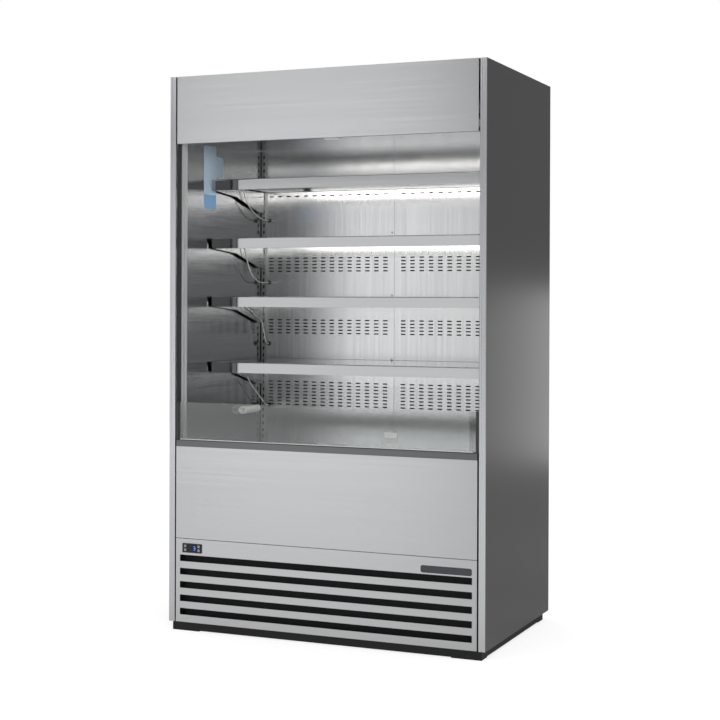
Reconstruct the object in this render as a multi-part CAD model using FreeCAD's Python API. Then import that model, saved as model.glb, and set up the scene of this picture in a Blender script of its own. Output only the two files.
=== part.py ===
import FreeCAD, Part
import math
import os

# Open multideck display fridge, millimetres, Z up from the floor.
# X runs across the cabinet, the open front faces -Y.

# ---------------------------------------------------------------- overall sizes
WIDTH = 1223.0
DEPTH = 757.0
HEIGHT = 2029.0
BASE_HEIGHT = 31.0
SHEET = 1.5
FIT = 0.3
OVERCUT = 1.0

# End walls, corner posts and the joints beside them
WALL = 29.5
POST_WIDTH = 24.0
POST_FACE = 2.0
POST_LEG = 14.0
POST_GROOVE_WIDTH = 9.0
POST_GROOVE_DEPTH = 0.7
REVEAL = 5.5
JAMB_DEPTH = 17.0
GUIDE_DEPTH = 28.0
GUIDE_THICKNESS = 6.0
GUIDE_GAP = 5.0
GUIDE_CHANNEL = 2.0
GUIDE_CHANNEL_WIDTH = 10.0

# Heights of the front, from the top down
HEADER_HEIGHT = 246.0
HEADER_RETURN = 16.0
GLASS_TOP = 836.0
RAIL_TOP = 700.0
RAIL_HEIGHT = 25.0
RAIL_DEPTH = 33.5
RAIL_CHAMFER = 3.0
GRILLE_TOP = 337.0
GRILLE_FLOOR_GAP = 1.0
PANEL_JOINT = 2.0
PANEL_RETURN = 20.0
PANEL_SEAM = 0.5

# Front glass
GLASS = 5.0
GLASS_BITE = 15.0
GLASS_SETBACK = 6.5
GLASS_CLEARANCE = 0.3
CHANNEL_WALL = 2.5
CHANNEL_WIDTH = 12.5
CHANNEL_LIP = 2.0

# Machine grille: slots, controller opening
GRILLE_SLOTS = 5
GRILLE_SLOT_HEIGHT = 24.0
GRILLE_SLOT_PITCH = 48.9
GRILLE_SLOT_MARGIN = 17.0
GRILLE_FIRST_SLOT = 26.6
FILTER_THICKNESS = 12.0
FILTER_GAP = 4.0
FILTER_FRAME = 14.0
FILTER_PAD = 4.0
FILTER_TOP_GAP = 6.0

# Controller
CONTROLLER_WIDTH = 80.0
CONTroller_height = 34.0
CONTROLLER_BEZEL = 5.0
CONTROLLER_PROUD = 2.5
CONTROLLER_LEFT = 28.0
CONTROLLER_DROP = 16.0
DISPLAY_WIDTH = 40.0
DISPLAY_HEIGHT = 20.0
DISPLAY_RECESS = 1.0
BUTTON_WIDTH = 9.0
BUTTON_HEIGHT = 9.0
BUTTON_PROUD = 1.2
BUTTON_LENGTH = 6.0
BUTTON_TRAVEL = 1.0
BUTTON_PITCH = 14.0
BUTTON_INSET = 12.0

# Insulation, tub, ducts and the perforated back
BACK_WALL = 36.0
AIR_DUCT = 32.0
ROOF_INSULATION = 75.0
ROOF_RETURN = 38.0
TUB_WALL = 30.0
TUB_FLOOR = 40.0
TUB_CORNER = 15.0
TUB_LIFT = 6.0
TUB_UNDER_RAIL = 11.0
DECK_HEIGHT = 670.0
DECK_LEDGE = 12.0
DECK_SLOTS = 14
DECK_WEB = 9.0
DECK_SLOT_LENGTH = 46.0
DECK_SLOT_MARGIN = 50.0
CEILING_RISE = 49.0
CEILING_FALL = 10.0

# Slots of the back panels: one group of rows under each shelf, its drop below the shelf,
# its number of rows and the distance between them
SLOT_WIDTH = 20.0
SLOT_HEIGHT = 5.0
SLOT_COLUMNS = 14
SLOT_FIRST_COLUMN = 38.0
SLOT_LAST_MARGIN = 41.29
SLOT_DROPS = (37.25, 65.75, 93.75, 94.0)
SLOT_ROWS = (1, 2, 2, 3)
SLOT_ROW_PITCHES = (0.0, 52.8, 52.8, 46.2)

# Pilasters and shelves
PILASTER_PITCH = 27.75
PILASTER_WIDTH = 14.0
PILASTER_DEPTH = 14.0
PILASTER_GAP = 3.0
PILASTER_SLOT_WIDTH = 4.0
PILASTER_SLOT_EDGE = 2.0
PILASTER_SLOT_HEIGHT = 14.0
LOWEST_SHELF = 975.5
TOP_SHELF_ROOM = 100.0
SHELF_SHARES = (1.0, 0.68, 0.36, 0.0)
SHELF_DEPTH = 429.0
SHELF_BACK_GAP = 1.0
SHELF_SIDE_GAP = 11.0
SHELF_LIP = 40.0
SHELF_LIP_RETURN = 12.0
SHELF_NOSE = 4.0
SHELF_RIB = 18.0
SHELF_RIB_INSET = 20.0
BRACKET = 2.5
BRACKET_INSET = 1.5
BRACKET_FRONT_HEIGHT = 38.0
BRACKET_KNEE_HEIGHT = 52.0
BRACKET_KNEE_REACH = 235.0
BRACKET_REAR_HEIGHT = 104.0
HOOK_DROP = 5.0
HOOK_NECK = 7.0
HOOK_THICKNESS = 4.0

# Lamps and their leads
LAMP_WIDTH = 30.0
LAMP_HEIGHT = 18.0
LAMP_FACE = 18.0
LAMP_END_GAP = 30.0
LAMP_SETBACK = 16.0
RACEWAY_WIDTH = 12.0
RACEWAY_HEIGHT = 8.5
CORD_DIAMETER = 4.0
CORD_SHELF_GAP = 24.0
CORD_WALL_GAP = 31.0
TUBE_SIDES = 6
GROMMET_RADIUS = 8.0
GROMMET_FACE = 2.5
CORD_HOLE_DROPS = (133.75, 163.95, 190.95, 191.4)
MAINS_GROMMET = (380.0, 120.0)

# Sensor guard on the left wall
GUARD_RADIUS = 15.0
GUARD_BORE = 12.0
GUARD_LENGTH = 130.0
GUARD_FRONT = 110.0
GUARD_HEIGHT = 775.0

# Night curtain
CURTAIN_PLANE = 26.5
CURTAIN_THICKNESS = 1.0
CURTAIN_SIDE_GAP = 6.0
CURTAIN_ROLL_RADIUS = 22.0
CURTAIN_AXLE_RADIUS = 5.0
CURTAIN_AXLE_GAP = 0.05
CURTAIN_BRACKET = 3.0
CURTAIN_BRACKET_DEPTH = 48.0
ROLLER_RISE = 87.0
BAR_HEIGHT = 16.0
BAR_THICKNESS = 10.0
BAR_LIFT = 3.0
TAB_WIDTH = 64.0
TAB_HEIGHT = 9.0
TAB_TAPER = 8.0
TAB_THICKNESS = 3.0
CATCH_WIDTH = 110.0
CATCH_THICKNESS = 2.0
CATCH_X = 30.0
CATCH_HEIGHT = 7.0
CATCH_HOOK = 4.0

# Air diffuser and header lamp
DIFFUSER_DEPTH = 68.0
DIFFUSER_HEIGHT = 25.0
DIFFUSER_RISE = 23.0
DIFFUSER_CELLS = 12
DIFFUSER_WEB = 4.0
HEADER_LAMP_RISE = 19.0

# Base frame
BASE_SIDE_INSET = 14.0
BASE_FRONT_INSET = 6.5
BASE_REAR_INSET = 30.0
BASE_FLANGE = 30.0
PAD_WIDTH = 109.0
PAD_DEPTH = 60.0
PAD_HEIGHT = 3.0
FLOOR_UPSTAND = 20.0
FLOOR_VENT_WIDTH = 260.0
FLOOR_VENT_DEPTH = 120.0

# Refrigeration
COIL_WIDTH = 840.0
COIL_HEIGHT = 150.0
COIL_DEPTH = 130.0
COIL_FINS = 14
COIL_FIN_GAP = 14.0
COIL_FRONT = 60.0
COIL_TUBE_PLATE = 26.0
FAN_PLATE_Y = -70.0
EVAPORATOR_FAN_RADIUS = 90.0
CONDENSER_FAN_RADIUS = 105.0
FAN_HUB = 26.0
FAN_BLADES = 4
FAN_DEPTH = 24.0
FAN_TIP_GAP = 6.0
FAN_PLATE_GAP = 2.0
BLADE_ROOT_SINK = 5.0
BLADE_ROOT_CHORD = 24.0
BLADE_TIP_CHORD = 56.0
BLADE_PITCH = 20.0
BLADE_THICKNESS = 2.0
ROTOR_GAP = 0.3
MOTOR_LENGTH = 45.0
MOTOR_BAR_WIDTH = 12.0
MOTOR_BAR = 4.0
MOTOR_POST_GAP = 4.0
SHROUD_CENTRE = (-120.0, 160.0)
CONDENSER_WIDTH = 300.0
CONDENSER_HEIGHT = 240.0
CONDENSER_DEPTH = 50.0
CONDENSER_FINS = 12
CONDENSER_FIN_GAP = 8.0
CONDENSER_Y = -300.0
CONDENSER_TUBE_PLATE = 10.0
COMPRESSOR_RADIUS = 75.0
COMPRESSOR_HEIGHT = 185.0
COMPRESSOR_SEAM = 95.0
COMPRESSOR_LIP = 3.0
COMPRESSOR_FOOT = 6.0
COMPRESSOR_FOOT_OVERHANG = 18.0
TERMINAL_WIDTH = 44.0
TERMINAL_HEIGHT = 60.0
TERMINAL_PROUD = 22.0
COMPRESSOR_CENTRE = (230.0, -60.0)
PAN_SIZE = (300.0, 220.0, 40.0)
PAN_SIDE_GAP = 52.0
PAN_REAR_GAP = 68.5
PIPE_RADIUS = 5.0
STUB_RADIUS = 7.0
STUB_LENGTH = 12.0
DISCHARGE_HEIGHT = 110.0
REAR_VENTS = 5
REAR_VENT_WIDTH = 180.0
REAR_VENT_HEIGHT = 8.0
REAR_VENT_PITCH = 40.0

# ---------------------------------------------------------------- derived places
half = WIDTH / 2
front = -DEPTH / 2
rear = DEPTH / 2
inner = half - WALL
post_inner = half - POST_WIDTH
panel_half = post_inner - REVEAL
header_bottom = HEIGHT - HEADER_HEIGHT
ceiling_front = header_bottom + CEILING_RISE
ceiling_rear = ceiling_front - CEILING_FALL
diffuser_bottom = header_bottom + DIFFUSER_RISE
header_lamp_bottom = header_bottom + HEADER_LAMP_RISE
roller_height = header_bottom + ROLLER_RISE
rail_bottom = RAIL_TOP - RAIL_HEIGHT
rail_back = front + RAIL_DEPTH
lower_panel_top = rail_bottom - PANEL_SEAM
lower_panel_bottom = GRILLE_TOP + PANEL_JOINT
grille_bottom = BASE_HEIGHT + GRILLE_FLOOR_GAP
jamb_front = front + POST_FACE + POST_LEG
jamb_back = jamb_front + JAMB_DEPTH
guide_front = jamb_back + GUIDE_GAP
guide_back = guide_front + GUIDE_DEPTH
glass_front = front + GLASS_SETBACK
glass_back = glass_front + GLASS
back_front = rear - BACK_WALL - AIR_DUCT - SHEET
back_rear = back_front + SHEET
duct_rear = back_rear + AIR_DUCT
roof_under = HEIGHT - SHEET - ROOF_INSULATION
deck_top = BASE_HEIGHT + SHEET
tub_bottom = lower_panel_bottom + TUB_LIFT
tub_floor_top = tub_bottom + TUB_FLOOR
tub_front = rail_back - TUB_UNDER_RAIL
tub_inner = tub_front + TUB_WALL
deck_under = DECK_HEIGHT - SHEET
pilaster_outer = inner - PILASTER_GAP
pilaster_inner = pilaster_outer - PILASTER_WIDTH
pilaster_slot = pilaster_inner + PILASTER_SLOT_EDGE + PILASTER_SLOT_WIDTH / 2
pilaster_front = back_front - PILASTER_DEPTH
shelf_rear = pilaster_front - SHELF_BACK_GAP
shelf_front = shelf_rear - SHELF_DEPTH
shelf_half = inner - SHELF_SIDE_GAP
bracket_front = shelf_front + SHEET + SHELF_LIP_RETURN + BRACKET_INSET
bracket_outer = pilaster_slot + BRACKET / 2
bracket_inner = pilaster_slot - BRACKET / 2
top_step = int((header_bottom - TOP_SHELF_ROOM - LOWEST_SHELF) / PILASTER_PITCH)
shelf_tops = [LOWEST_SHELF + round(share * top_step) * PILASTER_PITCH for share in SHELF_SHARES]
slot_pitch = (inner - SLOT_FIRST_COLUMN - SLOT_LAST_MARGIN) / (SLOT_COLUMNS - 1)
deck_slot_pitch = (2 * inner - 2 * DECK_SLOT_MARGIN) / DECK_SLOTS
cord_x_shelf = CORD_SHELF_GAP - inner
cord_x_wall = CORD_WALL_GAP - inner
cord_holes = [top - drop for top, drop in zip(shelf_tops, CORD_HOLE_DROPS)]
curtain_y = front + CURTAIN_PLANE
roller_y = curtain_y + CURTAIN_THICKNESS / 2 + CURTAIN_ROLL_RADIUS
curtain_half = inner - GUIDE_THICKNESS - CURTAIN_SIDE_GAP
bar_bottom = header_bottom + BAR_LIFT
bar_top = bar_bottom + BAR_HEIGHT
cord_end = back_front - GROMMET_FACE
controller_x = -panel_half + CONTROLLER_LEFT + CONTROLLER_WIDTH / 2
controller_z = GRILLE_TOP - CONTROLLER_DROP - CONTroller_height / 2
filter_front = front + PANEL_RETURN + FILTER_GAP


# ---------------------------------------------------------------- small helpers
def vec(x, y, z):
    return FreeCAD.Vector(x, y, z)


def box(x0, x1, y0, y1, z0, z1):
    return Part.makeBox(x1 - x0, y1 - y0, z1 - z0, vec(x0, y0, z0))


def prism(corners, direction):
    face = Part.Face(Part.makePolygon(corners + [corners[0]]))
    return face.extrude(direction)


def prism_x(outline, x0, x1):
    """Extrude an outline of (y, z) points along X."""
    return prism([vec(x0, y, z) for y, z in outline], vec(x1 - x0, 0, 0))


def prism_y(outline, y0, y1):
    """Extrude an outline of (x, z) points along Y."""
    return prism([vec(x, y0, z) for x, z in outline], vec(0, y1 - y0, 0))


def prism_z(outline, z0, z1):
    """Extrude an outline of (x, y) points along Z."""
    return prism([vec(x, y, z0) for x, y in outline], vec(0, 0, z1 - z0))


def bent_sheet(line, thickness):
    """Outline of a sheet whose one face follows a line, with mitred bends to its left."""
    normals = []
    for (a0, b0), (a1, b1) in zip(line, line[1:]):
        length = math.hypot(a1 - a0, b1 - b0)
        normals.append((-(b1 - b0) / length, (a1 - a0) / length))
    other_side = []
    for index, (a, b) in enumerate(line):
        before = normals[max(index - 1, 0)]
        after = normals[min(index, len(normals) - 1)]
        scale = thickness / (1 + before[0] * after[0] + before[1] * after[1])
        other_side.append((a + (before[0] + after[0]) * scale, b + (before[1] + after[1]) * scale))
    return line + other_side[::-1]


def mirrored(shape):
    return shape.mirror(vec(0, 0, 0), vec(1, 0, 0))


def both_sides(shape):
    return [shape, mirrored(shape)]


def cylinder(radius, length, start, direction):
    return Part.makeCylinder(radius, length, start, direction)


def fused(shapes):
    return shapes[0].multiFuse(shapes[1:]).removeSplitter()


def bend_points(points):
    """Runs and the tangent arcs between them, with the radius of each arc."""
    edges = []
    radii = []
    here = points[0]
    for before, corner, after in zip(points, points[1:], points[2:]):
        arriving = (corner - before).normalize()
        leaving = (after - corner).normalize()
        turn = arriving.getAngle(leaving)
        shorter = min((corner - before).Length, (after - corner).Length)
        tangent = 0.45 * shorter
        radius = tangent / math.tan(turn / 2)
        start = corner - arriving * tangent
        end = corner + leaving * tangent
        middle_way = (leaving - arriving).normalize()
        centre_distance = radius / math.cos(turn / 2)
        middle = corner + middle_way * (centre_distance - radius)
        edges.append(Part.LineSegment(here, start).toShape())
        edges.append(Part.Arc(start, middle, end).toShape())
        radii.append(radius)
        here = end
    edges.append(Part.LineSegment(here, points[-1]).toShape())
    return edges, radii


def tube_section(diameter, centre, direction):
    """Faceted section of a lead or pipe, square to the direction that it sets out in."""
    turn = FreeCAD.Rotation(vec(0, 0, 1), direction)
    corners = []
    for side in range(TUBE_SIDES + 1):
        angle = 2 * math.pi * (side % TUBE_SIDES) / TUBE_SIDES
        corners.append(centre + turn.multVec(vec(math.cos(angle), math.sin(angle), 0) * (diameter / 2)))
    return Part.makePolygon(corners)


def tube(points, diameter):
    edges, radii = bend_points(points)
    path = Part.Wire(edges)
    section = tube_section(diameter, points[0], (points[1] - points[0]).normalize())
    solid = path.makePipeShell([section], True, False)
    filled = solid.Volume / (Part.Face(section).Area * path.Length)
    return solid, path.Length, radii, filled


def save(name, shapes):
    """Write the solids of one node as a STEP file."""
    solids = [solid for shape in shapes for solid in shape.Solids]
    whole = solids[0] if len(solids) == 1 else Part.makeCompound(solids)
    whole.exportStep("parts/" + name + ".step")
    print(name, len(solids), "solids,", round(whole.Volume / 1000.0, 1), "cm3")


# ---------------------------------------------------------------- base and machine deck
def base_frame():
    x = half - BASE_SIDE_INSET
    y0 = front + BASE_FRONT_INSET
    y1 = rear - BASE_REAR_INSET
    ring = box(-x, x, y0, y1, PAD_HEIGHT, BASE_HEIGHT)
    hollow = box(-x + 2 * SHEET, x - 2 * SHEET, y0 + 2 * SHEET, y1 - 2 * SHEET, 0, BASE_HEIGHT - 2 * SHEET)
    window = box(-x + BASE_FLANGE, x - BASE_FLANGE, y0 + BASE_FLANGE, y1 - BASE_FLANGE, 0, BASE_HEIGHT)
    ring = ring.cut(hollow).cut(window)
    pads = []
    for px in (-x, x - PAD_WIDTH):
        for py in (y0, y1 - PAD_DEPTH):
            pads.append(box(px, px + PAD_WIDTH, py, py + PAD_DEPTH, 0, PAD_HEIGHT + 2 * SHEET))
    return fused([ring] + pads)


def machine_deck():
    edge = front + PANEL_RETURN + FILTER_GAP
    profile = bent_sheet(
        [(rear - SHEET, BASE_HEIGHT + FLOOR_UPSTAND), (rear - SHEET, BASE_HEIGHT), (edge, BASE_HEIGHT)],
        -SHEET,
    )
    plate = prism_x(profile, -inner, inner)
    vent = box(-FLOOR_VENT_WIDTH / 2, FLOOR_VENT_WIDTH / 2, 0, FLOOR_VENT_DEPTH, 0, HEIGHT)
    return plate.cut(vent)


# ---------------------------------------------------------------- end walls
def end_panel():
    """Outer skin of the right-hand end, folded round the foam at every edge."""
    skin_front = front + POST_FACE
    plan = bent_sheet(
        [
            (post_inner + POST_FACE, skin_front),
            (half, skin_front),
            (half, rear),
            (inner + SHEET, rear),
        ],
        SHEET,
    )
    walls = prism_z(plan, BASE_HEIGHT, HEIGHT)
    caps = []
    for z in (BASE_HEIGHT, HEIGHT - SHEET):
        caps.append(box(inner + SHEET, half - SHEET, jamb_back, rear - SHEET, z, z + SHEET))
        caps.append(box(post_inner + POST_FACE, half - SHEET, skin_front + SHEET, jamb_back, z, z + SHEET))
    return fused([walls] + caps)


def end_foam():
    near = post_inner + POST_FACE
    plan = [
        (near, front + POST_FACE + SHEET),
        (half - SHEET, front + POST_FACE + SHEET),
        (half - SHEET, rear - SHEET),
        (inner + SHEET, rear - SHEET),
        (inner + SHEET, jamb_back),
        (near, jamb_back),
    ]
    return prism_z(plan, BASE_HEIGHT + SHEET, HEIGHT - SHEET)


def end_liner():
    """Stainless inner sheet, from the jamb to the rear panel."""
    return box(inner, inner + SHEET, jamb_back, rear - SHEET, BASE_HEIGHT, HEIGHT)


def corner_post():
    """Front trim of an end wall: a grooved face with rounded corners and an inner leg."""
    face_back = front + POST_FACE
    groove_near = (half + post_inner - POST_GROOVE_WIDTH) / 2
    groove_far = groove_near + POST_GROOVE_WIDTH
    slope = POST_GROOVE_DEPTH
    plan = [
        (post_inner, face_back + POST_LEG),
        (post_inner, front),
        (groove_near, front),
        (groove_near + slope, front + POST_GROOVE_DEPTH),
        (groove_far - slope, front + POST_GROOVE_DEPTH),
        (groove_far, front),
        (half, front),
        (half, face_back),
        (post_inner + POST_FACE, face_back),
        (post_inner + POST_FACE, face_back + POST_LEG),
    ]
    post = prism_z(plan, BASE_HEIGHT, HEIGHT)
    corners = [
        edge
        for edge in post.Edges
        if edge.Length > HEADER_HEIGHT
        and abs(edge.CenterOfMass.y - front) < FIT
        and min(abs(edge.CenterOfMass.x - half), abs(edge.CenterOfMass.x - post_inner)) < FIT
    ]
    return post.makeFillet(POST_FACE * 0.7, corners)


def side_jamb():
    return box(inner, post_inner + POST_FACE, jamb_front, jamb_back, BASE_HEIGHT + SHEET, HEIGHT - SHEET)


def curtain_guide():
    """Aluminium strip on the liner with a shallow channel for the curtain's edge."""
    back = guide_back
    outer = inner
    face = inner - GUIDE_THICKNESS
    lip = (GUIDE_DEPTH - GUIDE_CHANNEL_WIDTH) / 2
    plan = [
        (outer, guide_front),
        (face, guide_front),
        (face, guide_front + lip),
        (face + GUIDE_CHANNEL, guide_front + lip),
        (face + GUIDE_CHANNEL, back - lip),
        (face, back - lip),
        (face, back),
        (outer, back),
    ]
    return prism_z(plan, rail_bottom, ceiling_rear)


# ---------------------------------------------------------------- back, roof and header
def insulation():
    back = box(-inner, inner, duct_rear, rear - SHEET, tub_bottom, roof_under)
    roof = box(-inner, inner, front + HEADER_RETURN + SHEET, rear - 2 * SHEET, roof_under, HEIGHT - SHEET)
    return both_sides(end_foam()) + [back, roof]


def rear_panel():
    panel = box(-inner - SHEET, inner + SHEET, rear - SHEET, rear, BASE_HEIGHT, HEIGHT)
    middle = (BASE_HEIGHT + tub_bottom) / 2
    lowest = middle - (REAR_VENTS - 1) * REAR_VENT_PITCH / 2
    vents = []
    for centre in (-inner / 2, 0):
        for row in range(REAR_VENTS):
            z = lowest + row * REAR_VENT_PITCH
            vents.append(
                box(
                    centre - REAR_VENT_WIDTH / 2,
                    centre + REAR_VENT_WIDTH / 2,
                    duct_rear,
                    rear + OVERCUT,
                    z - REAR_VENT_HEIGHT / 2,
                    z + REAR_VENT_HEIGHT / 2,
                )
            )
    return panel.cut(Part.makeCompound(vents))


def roof_panel():
    back_edge = rear - SHEET
    front_edge = front + HEADER_RETURN + SHEET
    profile = bent_sheet(
        [(back_edge, HEIGHT - ROOF_RETURN), (back_edge, HEIGHT), (front_edge, HEIGHT)],
        SHEET,
    )
    return prism_x(profile, -inner, inner)


def header_panel():
    """Front fascia, folded back under the roof and hemmed at its lower edge."""
    lower_back = front + HEADER_RETURN
    profile = bent_sheet(
        [
            (front + HEADER_RETURN, HEIGHT),
            (front, HEIGHT),
            (front, header_bottom),
            (lower_back, header_bottom),
            (lower_back, header_bottom + HEADER_RETURN),
        ],
        SHEET,
    )
    return prism_x(profile, -panel_half, panel_half)


def ceiling_panel():
    """Ceiling of the display space, falling slightly towards the back."""
    edge = guide_back + GUIDE_GAP + DIFFUSER_DEPTH + SHEET
    duct_height = roof_under - ceiling_front
    profile = bent_sheet(
        [(back_front, ceiling_rear), (edge, ceiling_front), (edge, ceiling_front + duct_height)],
        -SHEET,
    )
    return prism_x(profile, -inner, inner)


def air_diffuser():
    """Frame of narrow cells that lays the cold air down the open front."""
    y0 = guide_back + GUIDE_GAP
    y1 = y0 + DIFFUSER_DEPTH
    z1 = diffuser_bottom + DIFFUSER_HEIGHT
    block = box(-inner, inner, y0, y1, diffuser_bottom, z1)
    span = 2 * inner - DIFFUSER_WEB
    pitch = span / DIFFUSER_CELLS
    cell_bottom = diffuser_bottom - OVERCUT
    cell_top = z1 + OVERCUT
    cells = []
    for index in range(DIFFUSER_CELLS):
        x0 = -inner + DIFFUSER_WEB + index * pitch
        x1 = x0 + pitch - DIFFUSER_WEB
        cells.append(box(x0, x1, y0 + DIFFUSER_WEB, y1 - DIFFUSER_WEB, cell_bottom, cell_top))
    return block.cut(Part.makeCompound(cells))


def lamp_body(x0, x1, y0, top):
    """Lamp housing with a sloped front and a diffuser face below."""
    slope = (LAMP_WIDTH - LAMP_FACE) / 2
    profile = [
        (y0, top),
        (y0 + LAMP_WIDTH, top),
        (y0 + LAMP_WIDTH, top - LAMP_HEIGHT / 2),
        (y0 + LAMP_WIDTH - slope, top - LAMP_HEIGHT),
        (y0 + slope, top - LAMP_HEIGHT),
        (y0, top - LAMP_HEIGHT / 2),
    ]
    return prism_x(profile, x0, x1)


def header_lamp():
    return lamp_body(
        -inner + LAMP_END_GAP,
        inner - LAMP_END_GAP,
        guide_back + GUIDE_GAP - LAMP_WIDTH,
        header_lamp_bottom + LAMP_HEIGHT,
    )


# ---------------------------------------------------------------- display space
def slot_cuts(column_start):
    """Slots of one back panel, group by group down the panel."""
    cuts = []
    for top, drop, rows, pitch in zip(shelf_tops, SLOT_DROPS, SLOT_ROWS, SLOT_ROW_PITCHES):
        for row in range(rows):
            z = top - drop - row * pitch
            for column in range(SLOT_COLUMNS):
                x = column_start + column * slot_pitch
                cuts.append(
                    box(
                        x - SLOT_WIDTH / 2,
                        x + SLOT_WIDTH / 2,
                        back_front - OVERCUT,
                        back_rear + OVERCUT,
                        z - SLOT_HEIGHT / 2,
                        z + SLOT_HEIGHT / 2,
                    )
                )
    return cuts


def back_panel_right():
    """Right half of the perforated back; the two halves meet at the middle."""
    panel = box(PANEL_SEAM, inner, back_front, back_rear, deck_under, ceiling_rear)
    return panel.cut(Part.makeCompound(slot_cuts(SLOT_FIRST_COLUMN)))


def back_panel_left():
    return mirrored(back_panel_right())


def cord_grommets():
    """Bushes where the lamp leads meet the back panel, and the mains lead's bush on the rear panel."""
    places = [(cord_x_wall, cord_end, z) for z in cord_holes]
    x, z = MAINS_GROMMET
    places.append((x, rear, z))
    return [cylinder(GROMMET_RADIUS, GROMMET_FACE, vec(*place), vec(0, 1, 0)) for place in places]


def hook_heights(top):
    """Middle heights of a bracket's two pilaster slots."""
    first = top - PILASTER_PITCH / 2 - SHEET
    return (first, first - 2 * PILASTER_PITCH)


def pilaster():
    """Channel in the rear corner, slotted on its face for the shelf brackets."""
    plan = bent_sheet(
        [
            (pilaster_outer, back_front),
            (pilaster_outer, pilaster_front),
            (pilaster_inner, pilaster_front),
            (pilaster_inner, back_front),
        ],
        -SHEET,
    )
    channel = prism_z(plan, DECK_HEIGHT, ceiling_rear - GUIDE_GAP)
    slots = []
    for top in shelf_tops:
        for z in hook_heights(top):
            slots.append(
                box(
                    pilaster_slot - PILASTER_SLOT_WIDTH / 2,
                    pilaster_slot + PILASTER_SLOT_WIDTH / 2,
                    pilaster_front - OVERCUT,
                    pilaster_front + 2 * SHEET,
                    z - PILASTER_SLOT_HEIGHT / 2,
                    z + PILASTER_SLOT_HEIGHT / 2,
                )
            )
    return channel.cut(Part.makeCompound(slots))


def shelf_bracket(top):
    """Tapered plate under a shelf's end, hooked into two pilaster slots."""
    under = top - SHEET
    outline = [
        (bracket_front, under),
        (bracket_front, under - BRACKET_FRONT_HEIGHT),
        (pilaster_front - BRACKET_KNEE_REACH, under - BRACKET_KNEE_HEIGHT),
        (pilaster_front - BRACKET_FRONT_HEIGHT, under - BRACKET_REAR_HEIGHT),
        (pilaster_front, under - BRACKET_REAR_HEIGHT),
        (pilaster_front, under),
    ]
    plate = prism_x(outline, bracket_inner, bracket_outer)
    hooks = []
    inside = pilaster_front + SHEET + FIT
    for z in hook_heights(top):
        seat = z - PILASTER_SLOT_HEIGHT / 2
        hook = [
            (pilaster_front, seat),
            (inside, seat),
            (inside, seat - HOOK_DROP),
            (inside + HOOK_THICKNESS, seat - HOOK_DROP),
            (inside + HOOK_THICKNESS, seat + HOOK_NECK),
            (pilaster_front, seat + HOOK_NECK),
        ]
        hooks.append(prism_x(hook, bracket_inner, bracket_outer))
    return fused([plate] + hooks)


def shelf(top):
    """Shelf pan: rounded nose, deep front lip with a return, rear flange and two ribs."""
    under = top - SHEET
    lip_bottom = top - SHELF_LIP
    profile = bent_sheet([(shelf_rear, top), (shelf_front, top), (shelf_front, lip_bottom)], SHEET)
    pan = rounded_nose(prism_x(profile, -shelf_half, shelf_half), top)
    between = bracket_inner - FIT
    stiffeners = [
        box(-between, between, shelf_front, shelf_front + SHELF_LIP_RETURN, lip_bottom, lip_bottom + SHEET),
        box(-between, between, shelf_rear - SHEET, shelf_rear, top - SHELF_LIP / 2, under),
    ]
    rib_x = bracket_inner - SHELF_RIB_INSET
    for x in (-rib_x, rib_x - SHEET):
        stiffeners.append(box(x, x + SHEET, bracket_front, shelf_rear - SHEET, under - SHELF_RIB, under))
    return fused([pan] + stiffeners)


def rounded_nose(pan, top):
    """Round the bend between the shelf's deck and its lip, inside and out."""
    nose = SHELF_NOSE
    corner = box(-shelf_half, shelf_half, shelf_front, shelf_front + nose, top - nose, top)
    axis_start = vec(-shelf_half, shelf_front + nose, top - nose)
    outer = cylinder(nose, 2 * shelf_half, axis_start, vec(1, 0, 0))
    hollow = cylinder(nose - SHEET, 2 * shelf_half, axis_start, vec(1, 0, 0))
    bend = corner.common(outer.cut(hollow))
    return pan.cut(corner).fuse(bend).removeSplitter()


def shelf_lamp(top):
    """Lamp behind the lip and the raceway of its lead along the shelf's left end."""
    under = top - SHEET
    lamp_half = bracket_inner - SHELF_RIB_INSET - SHEET - LAMP_END_GAP / 2
    y0 = bracket_front + LAMP_SETBACK
    lamp = lamp_body(-lamp_half, lamp_half, y0, under)
    x0 = cord_x_shelf - RACEWAY_WIDTH / 2
    run = box(
        x0,
        x0 + RACEWAY_WIDTH,
        y0 + LAMP_WIDTH,
        cord_routes[shelf_tops.index(top)][0][1] + RACEWAY_WIDTH / 2,
        under - RACEWAY_HEIGHT,
        under,
    )
    y1 = y0 + LAMP_WIDTH
    cross = box(x0, -lamp_half, y1 - RACEWAY_WIDTH, y1, under - RACEWAY_HEIGHT, under)
    rib_gap = box(
        -bracket_inner + SHELF_RIB_INSET - FIT,
        -bracket_inner + SHELF_RIB_INSET + SHEET + FIT,
        y0,
        y0 + LAMP_WIDTH,
        under - SHELF_RIB,
        under,
    )
    return [lamp, run.fuse(cross.cut(rib_gap))]


def sensor_guard():
    """Open white tube that lies against the left wall."""
    start = vec(-inner + GUARD_RADIUS, GUARD_FRONT, GUARD_HEIGHT)
    outer = cylinder(GUARD_RADIUS, GUARD_LENGTH, start, vec(0, 1, 0))
    bore = cylinder(GUARD_BORE, GUARD_LENGTH, start, vec(0, 1, 0))
    return outer.cut(bore)


def deck_pan():
    """Lowest deck, with the return-air slots along its front."""
    deck_front = tub_inner - DECK_LEDGE
    plate = box(-inner, inner, deck_front, back_front, deck_under, DECK_HEIGHT)
    slots = []
    for index in range(DECK_SLOTS):
        x = (index - (DECK_SLOTS - 1) / 2) * deck_slot_pitch
        y0 = tub_inner + DECK_LEDGE
        slots.append(
            box(
                x - deck_slot_pitch / 2 + DECK_WEB,
                x + deck_slot_pitch / 2 - DECK_WEB,
                y0,
                y0 + DECK_SLOT_LENGTH,
                deck_under - OVERCUT,
                DECK_HEIGHT + OVERCUT,
            )
        )
    return plate.cut(Part.makeCompound(slots))


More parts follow.
